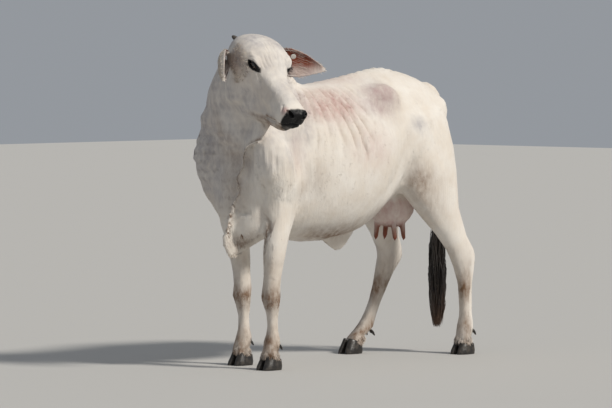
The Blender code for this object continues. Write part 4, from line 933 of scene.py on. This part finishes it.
coat_colour, given, result = new_group(
    "coat_colour", [("place", "NodeSocketVector")] + [(name, "NodeSocketFloat") for name in MASKS],
    [("colour", "NodeSocketColor")],
)
place = given.outputs["place"]
mottle = spread(coat_colour, noise(coat_colour, place, 7.0, 5.0, 0.62), 0.38, 0.72)
tone = mixed(coat_colour, calc(coat_colour, "MULTIPLY", mottle, 0.70), WHITE, CREAM)
fine = spread(coat_colour, noise(coat_colour, place, 60.0, 4.0, 0.6, (1, 1, 0.35)), 0.35, 0.70)
tone = mixed(coat_colour, calc(coat_colour, "MULTIPLY", fine, 0.22), tone, (0.600, 0.560, 0.530, 1))
breakup = spread(coat_colour, noise(coat_colour, place, 38.0, 5.0, 0.65, (1, 1, 0.5)), 0.30, 0.66, 0.45, 1.25)
for name, colour in (("grey", GREY_AND_SHADE), ("pink", PINK), ("brown", BROWN_STAIN_AND_SHADE), ("orange", ORANGE)):
    share = calc(coat_colour, "MULTIPLY", given.outputs[name], 1.0 if name == "orange" else breakup)
    tone = mixed(coat_colour, calc(coat_colour, "MINIMUM", share, 1.0), tone, colour)
tone = mixed(coat_colour, given.outputs["dark"], tone, DARK)
feed(coat_colour, result.inputs["colour"], tone)

fur_height, given, result = new_group(
    "fur_height", [("place", "NodeSocketVector"), ("pleat", "NodeSocketFloat")], [("height", "NodeSocketFloat")]
)
place = given.outputs["place"]
hair = noise(fur_height, place, 420.0, 3.0, 0.6, (1, 1, 0.16))
locks = noise(fur_height, place, 110.0, 4.0, 0.6, (1, 1, 0.20))
folds = noise(fur_height, place, 62.0, 2.0, 0.5, (1, 1, 0.10))
height = calc(fur_height, "ADD", calc(fur_height, "MULTIPLY", hair, 0.16), calc(fur_height, "MULTIPLY", locks, 0.38))
pleats = calc(fur_height, "MULTIPLY", folds, given.outputs["pleat"])
height = calc(fur_height, "ADD", height, calc(fur_height, "MULTIPLY", pleats, 2.2))
feed(fur_height, result.inputs["height"], height)
print("groups", [group.name for group in bpy.data.node_groups])

# %% The coat's material
def attribute(tree, name):
    """The mask that a mesh keeps under a name."""
    node = tree.nodes.new("ShaderNodeAttribute")
    node.attribute_name = name
    return node.outputs["Fac"]


def coat_material(name, strength):
    """The coat's finish. Naked dark skin in it is smoother and moist."""
    made, tree, shader, place = material(name, 0.72)
    group = tree.nodes.new("ShaderNodeGroup")
    group.node_tree = coat_colour
    feed(tree, group.inputs["place"], place)
    for mask in MASKS:
        feed(tree, group.inputs[mask], attribute(tree, mask))
    tree.links.new(group.outputs["colour"], shader.inputs["Base Color"])
    naked = calc(tree, "MULTIPLY", attribute(tree, "dark"), attribute(tree, "wet"))
    feed(tree, shader.inputs["Roughness"], spread(tree, naked, 0.2, 0.9, 0.76, 0.46))
    feed(tree, shader.inputs["Specular IOR Level"], spread(tree, naked, 0.2, 0.9, 0.40, 0.28))
    height = tree.nodes.new("ShaderNodeGroup")
    height.node_tree = fur_height
    feed(tree, height.inputs["place"], place)
    feed(tree, height.inputs["pleat"], attribute(tree, "pleat"))
    bump(tree, shader, height.outputs["height"], strength, 0.0030)
    return made


skin.data.materials.clear()
skin.data.materials.append(coat_material("white_coat", 0.8))
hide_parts(*FLESH, "ear_left", "ear_right")
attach(skin, "root")
print("skin finished")

# %% [markdown]
# ## Eyes
# The ball is almost all dark iris with a wide flat pupil, and only a thin rim of brown-white shows at the corners.
# The cornea bulges a little, which moves the light on it. A mask for how far each point is from the gaze draws
# iris and pupil, so the drawing turns with the eye.

# %% Model the eyes
def eye_material():
    """Dark iris and pupil in brown-white, under a clear wet coat."""
    made, tree, shader, place = material("wet_eye", 0.07)
    fibres = noise(tree, place, 900.0, 3.0)
    iris = mixed(tree, fibres, (0.006, 0.003, 0.002, 1), (0.018, 0.009, 0.006, 1))
    white = mixed(tree, noise(tree, place, 260.0), (0.16, 0.10, 0.075, 1), (0.30, 0.21, 0.17, 1))
    colour = mixed(tree, spread(tree, attribute(tree, "iris"), 0.95, 1.08), iris, white)
    colour = mixed(tree, spread(tree, attribute(tree, "pupil"), 0.96, 1.06), (0.002, 0.002, 0.003, 1), colour)
    tree.links.new(colour, shader.inputs["Base Color"])
    shader.inputs["Coat Weight"].default_value = 1.0
    shader.inputs["Coat Roughness"].default_value = 0.02
    return made


wet_eye = eye_material()
for side, s in SIDES.items():
    middle, gaze, forward, upward = eye_frame(s)
    eye = object_from(ball(middle, [EYE_RADIUS] * 3, segments=64), "eyeball_" + side)
    seen = (points_of(eye) - np.array(middle)) / EYE_RADIUS
    ahead, high, facing = seen @ np.array(forward), seen @ np.array(upward), seen @ np.array(gaze)
    off_axis = np.where(facing > 0, np.hypot(ahead, high), 2.0)
    bulge = 1 + 0.055 * soft(off_axis, 0.72)
    set_points(eye, np.array(middle) + seen * EYE_RADIUS * bulge[:, None])
    store(eye, {"iris": off_axis / 0.66, "pupil": np.where(facing > 0, np.hypot(ahead / 0.40, high / 0.19), 2.0)})
    eye.data.shade_smooth()
    eye.data.materials.append(wet_eye)
    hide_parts("eye_" + side)
    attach(eye, "root")
print("eyes made")

# %% [markdown]
# ## Hooves, dewclaws, horn buds and the ear tag
# Hoof and horn grow in rings. The solids have the right outline but hard facets, so each copy is remeshed finely
# and relaxed, and the growth rings are bump and colour by height. The claws narrow toward their tops, which are
# pushed a few millimetres up into the leg, where the skin covers them, as at a real coronet. The horn buds sit a
# little farther inward than their solids.

# %% Smooth copies of the horny parts
NARROW, BACKWARD = 0.17, 0.05
SOLE, TALL, CORONET = 0.012, 0.055, 0.034
BUD_INWARD = 0.012


def horny_material(name, dark, light, ring_scale):
    """Hoof or horn with growth rings across the height, and dried dirt."""
    made, tree, shader, place = material(name, 0.42)
    rings = noise(tree, place, ring_scale, 3.0, 0.55, (0.06, 0.06, 1))
    dirt = spread(tree, noise(tree, place, 45.0, 4.0), 0.45, 0.70)
    colour = mixed(tree, rings, dark, light)
    colour = mixed(tree, calc(tree, "MULTIPLY", dirt, 0.45), colour, (0.085, 0.068, 0.052, 1))
    tree.links.new(colour, shader.inputs["Base Color"])
    feed(tree, shader.inputs["Roughness"], spread(tree, dirt, 0.0, 1.0, 0.34, 0.72))
    bump(tree, shader, rings, 0.6, 0.0012)
    return made


def smooth_copies(name, nodes, voxel, rounds, finish, slot, lift=0.0):
    """One piece of smooth copies of several solids, each pushed up by lift at its top."""
    whole = bmesh.new()
    for node in nodes:
        part = welded(node)
        top = max(vertex.co.z for vertex in part.verts)
        if lift:
            foot = node.rsplit("_", 1)[0]
            claws = [welded(f"{foot}_{place}") for place in ("inner", "outer")]
            corners = [vertex.co.copy() for claw in claws for vertex in claw.verts]
            middle = sum(corners, Vector()) / len(corners)
            for claw in claws:
                claw.free()
            for vertex in part.verts:
                share = NARROW * min(1.0, max(0.0, (vertex.co.z - SOLE) / TALL))
                vertex.co.x -= share * (vertex.co.x - middle.x) + BACKWARD * share
                vertex.co.y -= share * (vertex.co.y - middle.y)
        for vertex in part.verts:
            if lift and vertex.co.z > top - CORONET:
                vertex.co.z += lift
        if slot == "horn":
            inward = in_head(0.03, 0.0, -0.02) - sum((vertex.co for vertex in part.verts), Vector()) / len(part.verts)
            bmesh.ops.translate(part, verts=part.verts, vec=inward.normalized() * BUD_INWARD)
        add_to(whole, part)
    piece = remeshed(object_from(whole, name), voxel)
    points = relaxed(points_of(piece), edges_of(piece), np.ones(len(piece.data.vertices)), rounds)
    if lift:
        points[:, 2] = np.maximum(points[:, 2], 0.0)
        points[points[:, 2] < 0.0016, 2] = 0.0
    set_points(piece, points)
    piece.data.shade_smooth()
    piece.data.materials.clear()
    piece.data.materials.append(finish)
    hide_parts(*nodes)
    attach(piece, "root")
    print(name, len(piece.data.polygons), "faces")
    return piece


DIGITS = [f"{end}_{side}_{place}" for end in ("fore", "hind") for side in SIDES for place in ("inner", "outer")]
hoof_horn = horny_material("hoof_horn", (0.008, 0.0075, 0.007, 1), (0.034, 0.029, 0.025, 1), 330.0)
bud_horn = horny_material("bud_horn", (0.025, 0.022, 0.020, 1), (0.11, 0.095, 0.08, 1), 420.0)
smooth_copies("claws", ["claw_" + digit for digit in DIGITS], 0.0040, 9, hoof_horn, "hoof", 0.006)
smooth_copies("dewclaws", ["dewclaw_" + digit for digit in DIGITS], 0.0026, 4, hoof_horn, "hoof")
smooth_copies("horn_buds", ["horn_left", "horn_right"], 0.0022, 4, bud_horn, "horn")

# %% Finish the ear tag
tag, tree, shader, place = material("tag_plastic", 0.45)
scuffs = spread(tree, noise(tree, place, 300.0, 4.0, 0.7), 0.45, 0.75)
plastic = mixed(tree, calc(tree, "MULTIPLY", scuffs, 0.5), (0.80, 0.79, 0.74, 1), (0.50, 0.46, 0.40, 1))
tree.links.new(plastic, shader.inputs["Base Color"])
bump(tree, shader, scuffs, 0.3, 0.0006)
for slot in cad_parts["ear_tag"].material_slots:
    slot.material = tag
print("tag finished")

# %% [markdown]
# ## Short hair and long hair
# A tuft is one flat, tapered spike of a few faces that is drawn once and then laid down thousands of times. Each
# lies along the way the hair grows, back and down on the trunk, down on the legs, toward the nose on the face. It
# takes its masks from the skin at its root. Its bake map is a tiny patch at the root's place in the skin's unwrap.
# Short tufts are shaded flat, because smooth shading of such thin spikes draws dark specks over a white coat.

# %% Unwrap the skin
bpy.context.view_layer.objects.active = skin
skin.select_set(True)
bpy.ops.object.mode_set(mode="EDIT")
bpy.ops.mesh.select_all(action="SELECT")
bpy.ops.uv.smart_project(angle_limit=math.radians(72), island_margin=0.001)
bpy.ops.object.mode_set(mode="OBJECT")
skin.data.uv_layers.active.name = "OFBake"
print("unwrapped", len(skin.data.loops), "corners")

# %% Read the skin's triangles
corner_points = column(skin.data.loops, "vertex_index", 1, np.int64).reshape(-1, 3)
corner_uvs = column(skin.data.uv_layers["OFBake"].data, "uv", 2).reshape(-1, 3, 2)
skin_points, skin_normals = points_of(skin), normals_of(skin)
sides = skin_points[corner_points]
middles, middle_normals = sides.mean(axis=1), skin_normals[corner_points[:, 0]]
areas = 0.5 * np.linalg.norm(np.cross(sides[:, 1] - sides[:, 0], sides[:, 2] - sides[:, 0]), axis=1)


def scattered(count, share, seed):
    """Places drawn over the skin, as many as count, denser where the share of its triangles is higher."""
    draw = np.random.default_rng(seed)
    weight = areas * share
    chosen = draw.choice(len(areas), count, p=weight / weight.sum())
    cuts = draw.random((count, 2))
    folded = cuts.sum(axis=1) > 1
    cuts[folded] = 1 - cuts[folded]
    parts = np.stack([1 - cuts.sum(axis=1), cuts[:, 0], cuts[:, 1]], axis=1)[:, :, None]
    near_by, ways = skin_points[corner_points[chosen]], skin_normals[corner_points[chosen]]
    normals = (ways * parts).sum(axis=1)
    normals /= np.linalg.norm(normals, axis=1)[:, None]
    return (near_by * parts).sum(axis=1), normals, (corner_uvs[chosen] * parts).sum(axis=1), draw


def unit(ways):
    """The directions with length 1."""
    return ways / np.maximum(np.linalg.norm(ways, axis=1), 1e-9)[:, None]


def hair_way(points, normals, draw, loose=0.18):
    """The way that the hair lies at each point, along the skin."""
    x, _, z = body_frame(points).T
    nose = np.array(head_way(1, 0, -0.15))
    head = (1 - off_head(points, 0.30, 0.40))[:, None]
    leg = (1 - ramp(z, 0.50, 0.70))[:, None]
    neck = ramp(x, 0.42, 0.60)[:, None]
    way = np.array([-0.78, 0.0, -0.62]) * (1 - neck) + np.array([-0.30, 0.0, -0.95]) * neck
    way = way * (1 - leg) + np.array([-0.10, 0.0, -1.0]) * leg
    way = way * (1 - head) + nose * head
    way = way + loose * draw.normal(size=way.shape)
    return unit(way - normals * np.sum(way * normals, axis=1)[:, None])


print("skin area", round(float(areas.sum()), 2), "m2")

# %% Draw a tuft and lay down many
def spike(cuts):
    """The points and faces of a flat spike: across in x, thickness in y and length from 0 to 1 in z."""
    made = bmesh.new()
    bmesh.ops.create_cone(made, cap_ends=True, segments=4, radius1=0.5, radius2=0.03, depth=1.0)
    bmesh.ops.translate(made, verts=made.verts, vec=(0, 0, 0.5))
    for share in cuts:
        parts = made.verts[:] + made.edges[:] + made.faces[:]
        bmesh.ops.bisect_plane(made, geom=parts, plane_co=(0, 0, share), plane_no=(0, 0, 1))
    made.verts.index_update()
    points = np.array([vertex.co[:] for vertex in made.verts])
    faces = [[vertex.index for vertex in face.verts] for face in made.faces]
    made.free()
    return points, faces


def tufts(name, shape, middle, side, up, width, thickness, uvs, masks, finish, slot):
    """One piece of tufts. middle gives each tuft's centre line at each point of the shape."""
    drawn, faces = shape
    count, size = len(uvs), len(drawn)
    height = drawn[:, 2]
    cone = 1 - 0.94 * height
    taper = np.minimum(1.0, 0.55 + 1.6 * height) / cone
    swell = np.sin(math.pi * np.clip(0.22 + 0.74 * height, 0, 1)) * cone * taper
    across, deep = drawn[:, 0] * swell / cone, drawn[:, 1] * swell / cone
    placed = middle + side * (across[None, :, None] * width[:, None, None])
    placed = placed + up * (deep[None, :, None] * thickness[:, None, None])
    mesh = bpy.data.meshes.new(name)
    every = [[i + k * size for i in face] for k in range(count) for face in faces]
    mesh.from_pydata(placed.reshape(-1, 3).tolist(), [], every)
    piece = bpy.data.objects.new(name, mesh)
    bpy.context.scene.collection.objects.link(piece)
    corners = column(mesh.loops, "vertex_index", 1, np.int64).ravel()
    patch = np.stack([drawn[:, 0], height - 0.5], axis=1) * 0.003
    places = uvs[corners // size] + patch[corners % size]
    mesh.uv_layers.new(name="OFBake").data.foreach_set("uv", np.clip(places, 0, 1).ravel())
    store(piece, {label: np.repeat(values, size) for label, values in masks.items()})
    store(piece, {"along": np.tile(height, count)})
    if slot == "switch_hair":
        mesh.shade_smooth()
    mesh.materials.append(finish)
    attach(piece, "root")
    print(name, count, "tufts", sum(len(face) - 2 for face in faces) * count, "triangles")
    return piece


def laid(name, shape, count, share, seed, length, width, lift, loose=0.18, way=None, masks=None):
    """Tufts that lie on the skin where share says, each as long and wide as drawn from a range."""
    roots, normals, uvs, draw = scattered(count, share, seed)
    ways = hair_way(roots, normals, draw, loose)
    if way is not None:
        ways = unit(way(roots, normals) + loose * draw.normal(size=roots.shape))
    along = shape[0][:, 2]
    reach = draw.uniform(*length, count)[:, None]
    rise = draw.uniform(0.5, 1.0, count)[:, None] * lift
    middle = roots[:, None, :] + ways[:, None, :] * (reach * along)[:, :, None]
    above = -0.0012 + 0.0012 * along + rise * along * (1.5 - 0.8 * along)
    middle = middle + normals[:, None, :] * above[:, :, None]
    side = unit(np.cross(normals, ways))[:, None, :]
    found = markings(roots, normals)
    found.update(masks or {})
    found = {label: np.broadcast_to(values, (count,)) for label, values in found.items()}
    wide = draw.uniform(*width, count)
    return tufts(name, shape, middle, side, normals[:, None, :], wide, wide * 0.22, uvs, found, white_coat, "coat")


FAINT = 1e-9  # keeps the share of a fringe above nothing
white_coat = skin.data.materials[0]
short = spike([0.45])
bx, _, bz = body_frame(middles).T
head_here = 1 - off_head(middles, 0.34, 0.40)
naked = markings(middles, middle_normals)
furred = (1 - ramp(naked["dark"], 0.2, 0.5)) * (1 - ramp(naked["orange"], 0.2, 0.5)) * ramp(bz, 0.058, 0.064)
before, over = ramp(bx, 0.20, 0.24), ramp(bz, 0.52, 0.60)
trunk_share = furred * (1 - head_here) * over
laid("coat_front", short, 9500, trunk_share * before, 11, (0.010, 0.019), (0.0022, 0.0040), 0.0005)
laid("coat_rear", short, 9500, trunk_share * (1 - before), 12, (0.010, 0.019), (0.0022, 0.0040), 0.0005)
laid("coat_legs", short, 9000, furred * (1 - over), 13, (0.008, 0.016), (0.0018, 0.0032), 0.0006)
in_ears = np.max([in_ear(middles, middle_normals, side)[0] for side in SIDES], axis=0)
laid("coat_head", short, 7500, furred * head_here * (1 - 0.6 * in_ears), 14, (0.005, 0.010), (0.0012, 0.0022), 0.0004)

# %% Fringes where the coat breaks the outline
long_shape = spike([0.25, 0.5, 0.75])


def down_way(_, normals):
    """Down and a little off the skin."""
    return unit(np.array([-0.05, 0.0, -1.0]) + 0.35 * normals)


coronet = furred * (1 - ramp(bz, 0.074, 0.090)) * ramp(middle_normals[:, 2], -0.9, -0.5)
laid("coronet_hair", long_shape, 2400, coronet + FAINT, 15, (0.016, 0.026), (0.0026, 0.0042), 0.0035, 0.12, down_way)
edge = np.maximum.reduce([
    ramp(bx, 0.60, 0.66) * (1 - ramp(bz, 0.60, 0.66)) * ramp(bz, 0.5, 0.55),
    np.exp(-(((bz - 0.118) / 0.018) ** 2)) * ramp(-middle_normals[:, 0], 0.4, 0.8),
    0.5 * round_mask(body_frame(middles), (0.12, 0.0, 0.585), (0.10, 0.09, 0.05)),
])
laid("edge_hair", long_shape, 1800, furred * edge + FAINT, 16, (0.014, 0.026), (0.0022, 0.0036), 0.004, 0.20)
facing = np.zeros(len(middles))
inside_low = np.zeros(len(middles))
for side in SIDES:
    there, reach, turned = in_ear(middles, middle_normals, side)
    facing = np.maximum(facing, there * soft(turned - 0.05, 0.30))
    inside_low = np.maximum(inside_low, there * ramp(turned, 0.5, 0.8) * ramp(0.80 - reach, 0, 0.25))


def near_ears(points):
    """For each ear the points near it, the way it points and the way that its opening faces."""
    for side in SIDES:
        base, along, opening = (np.array(part) for part in ear_frame(side))
        yield np.linalg.norm(points - base, axis=1) < EAR_LENGTH * 1.1, along, opening


def ear_rim_way(points, normals):
    """Along the ear and outward from its rim."""
    found = np.zeros_like(points)
    for near, along, opening in near_ears(points):
        found[near] = 0.75 * along + 0.65 * normals[near] + 0.25 * opening
    return unit(found + np.array([0, 0, -0.05]))


def ear_hair_way(points, _):
    """Along the ear, a little out of its opening and down."""
    found = np.zeros_like(points)
    for near, along, opening in near_ears(points):
        found[near] = 0.92 * along + 0.22 * opening + np.array([0, 0, -0.25])
    return unit(found)


PALE = {"orange": 0.0, "dark": 0.0, "grey": 0.0, "brown": 0.04}
REDDISH = {"orange": 0.45, "dark": 0.0, "grey": 0.0}
laid("ear_rim_hair", long_shape, 2600, furred * facing + FAINT, 17, (0.008, 0.016), (0.0014, 0.0024), 0.0010, 0.16,
     ear_rim_way, PALE)
laid("ear_inner_hair", long_shape, 300, inside_low + FAINT, 18, (0.022, 0.044), (0.0010, 0.0018), 0.007, 0.10,
     ear_hair_way, REDDISH)
lid_edge = np.zeros(len(middles))
for s in SIDES.values():
    middle, gaze, forward, upward = (np.array(part) for part in eye_frame(s))
    seen = middles - middle
    ahead, high = seen @ forward / EYE_HALF, seen @ upward / EYE_UP
    level = np.hypot(ahead, high)
    rim = ramp(1.45 - level, 0, 0.1) * ramp(level, 0.8, 0.95) * ramp(high, 0.3, 0.6) * (seen @ gaze > 0)
    lid_edge = np.maximum(lid_edge, rim)


def lash_way(points, _):
    """Out from the upper lid and a little down."""
    found = np.zeros_like(points)
    for s in SIDES.values():
        middle, gaze, forward, upward = (np.array(part) for part in eye_frame(s))
        near = np.linalg.norm(points - middle, axis=1) < 0.05
        found[near] = gaze + 0.15 * upward + 6.0 * np.outer((points[near] - middle) @ forward, forward)
    return unit(found)


laid("lashes", long_shape, 240, lid_edge + FAINT, 21, (0.010, 0.018), (0.0006, 0.0010), 0.006, 0.10,
     lash_way, {"dark": 1.0, "wet": 0.0})
print("fringes laid")

# %% [markdown]
# ## The switch of the tail
# Long black hair hangs from the end of the tail in separate locks that lie over each other and end in thin,
# sun-browned tips. The locks start all round the tail at different heights, swell outward and close again.

# %% Hang the switch
def switch_material():
    """Black hair with tips that are browned by the sun."""
    made, tree, shader, place = material("switch_hair", 0.45)
    strands = noise(tree, place, 300.0, 3.0, 0.6, (1, 1, 0.08))
    black = mixed(tree, strands, (0.006, 0.005, 0.005, 1), (0.030, 0.022, 0.017, 1))
    brown = mixed(tree, strands, (0.060, 0.030, 0.017, 1), (0.170, 0.095, 0.055, 1))
    low = tree.nodes.new("ShaderNodeSeparateXYZ")
    tree.links.new(place, low.inputs[0])
    tips = spread(tree, low.outputs[2], 0.40, 0.15)
    share = calc(tree, "MULTIPLY", tips, spread(tree, attribute(tree, "along"), 0.25, 0.95))
    tree.links.new(mixed(tree, share, black, brown), shader.inputs["Base Color"])
    bump(tree, shader, strands, 0.7, 0.0010)
    return made


hair_shape = spike([0.12, 0.26, 0.42, 0.58, 0.74, 0.88])
LOCKS = 900
SWITCH_AT = on_body(-0.793, 0.0, 0.0)
SWITCH_TOP, SWITCH_END = 0.700, 0.122
draw = np.random.default_rng(19)
along = hair_shape[0][:, 2][None, :]
start = SWITCH_TOP - 0.42 * draw.random(LOCKS)[:, None] ** 1.3
reach = draw.uniform(0.20, 0.36, LOCKS)[:, None]
reach = np.minimum(reach, start - SWITCH_END - 0.03 * draw.random(LOCKS)[:, None])
angle = draw.uniform(0, 2 * math.pi, LOCKS)[:, None] + 0.5 * along * draw.normal(size=(LOCKS, 1))
lower = start - reach * along
belly = 0.020 + 0.032 * np.sin(math.pi * np.clip((SWITCH_TOP - lower) / 0.62, 0, 1)) ** 0.8
radius = np.minimum(0.22 + 2.0 * along, 1.0) * belly * draw.uniform(0.40, 1.0, LOCKS)[:, None]
radius = radius * (1 - 0.30 * along**2) + 0.004 * np.sin(along * 7 + 6 * draw.random((LOCKS, 1))) * along
middle = np.stack([
    SWITCH_AT.x - 0.006 * (SWITCH_TOP - lower) + np.cos(angle) * radius,
    SWITCH_AT.y + np.sin(angle) * radius,
    lower,
], axis=2)
level = np.zeros_like(angle)
outward = np.stack([np.cos(angle), np.sin(angle), level], axis=2)
across = np.stack([-np.sin(angle), np.cos(angle), level], axis=2)
wide = draw.uniform(0.0045, 0.0095, LOCKS)
uvs = scattered(LOCKS, (body_frame(middles)[:, 0] < -0.72) * (bz > 0.66) * (bz < 0.74) + FAINT, 20)[2]
black_hair = switch_material()
tufts("switch_locks", hair_shape, middle, across, outward, wide, wide * 0.4, uvs, {}, black_hair, "switch_hair")
core = remeshed(object_from(welded("tail_switch"), "switch_core"), 0.004)
core_points = relaxed(points_of(core), edges_of(core), np.ones(len(core.data.vertices)), 6)
centre = np.array([SWITCH_AT.x, SWITCH_AT.y, 0])
inward = (core_points - centre) * np.array([1, 1, 0])
set_points(core, core_points - 0.35 * inward)
core.data.shade_smooth()
core.data.materials.clear()
core.data.materials.append(black_hair)
store(core, {"along": np.full(len(core.data.vertices), 0.5)})
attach(core, "root")
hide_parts("tail_switch")
print("switch hung")

# %% [markdown]
# ## Floor, light and camera
# A museum model is shown on a plain pale floor. One large soft lamp stands high on the picture's right, as
# the sun does in the photograph, and a wide pale sky fills the shade.

# %% Stage
floor = bmesh.new()
bmesh.ops.create_grid(floor, x_segments=1, y_segments=1, size=30)
floor = object_from(floor, "floor")
floor_finish = bpy.data.materials.new("pale_floor")
floor_finish.use_nodes = True
shader = floor_finish.node_tree.nodes["Principled BSDF"]
shader.inputs["Base Color"].default_value = (0.52, 0.51, 0.49, 1)
shader.inputs["Roughness"].default_value = 0.8
floor.data.materials.append(floor_finish)

AIM = Vector((-0.0198, -0.2091, 0.766))
TURN = math.radians(47)
AWAY, EYE_LEVEL = 20, 1.6
LENS_MM = 241.2


def aimed(name, data, place):
    """A camera or lamp at a place, turned toward the cow."""
    thing = bpy.data.objects.new(name, data)
    thing.location = place
    thing.rotation_euler = (AIM - thing.location).to_track_quat("-Z", "Y").to_euler()
    bpy.context.scene.collection.objects.link(thing)
    return thing


lens = bpy.data.cameras.new("camera")
lens.sensor_width = 36
lens.lens = LENS_MM
lens.clip_end = 100
camera = aimed("camera", lens, (AIM.x + AWAY * math.sin(TURN), AIM.y + AWAY * math.cos(TURN), EYE_LEVEL))
bpy.context.scene.camera = camera

lamp = bpy.data.lights.new("high_lamp", "SUN")
lamp.angle = math.radians(9)
lamp.energy = 2.9
lamp.color = (1.0, 0.955, 0.88)
aimed("high_lamp", lamp, AIM + Vector((-1.3, 5.1, 4.8)))

sky = bpy.data.worlds.new("sky")
sky.use_nodes = True
background = sky.node_tree.nodes["Background"]
background.inputs["Color"].default_value = (0.80, 0.85, 0.92, 1)
background.inputs["Strength"].default_value = 0.37
bpy.context.scene.world = sky
bpy.context.scene.view_settings.view_transform = "Standard"
print("camera at", [round(v, 2) for v in camera.location])
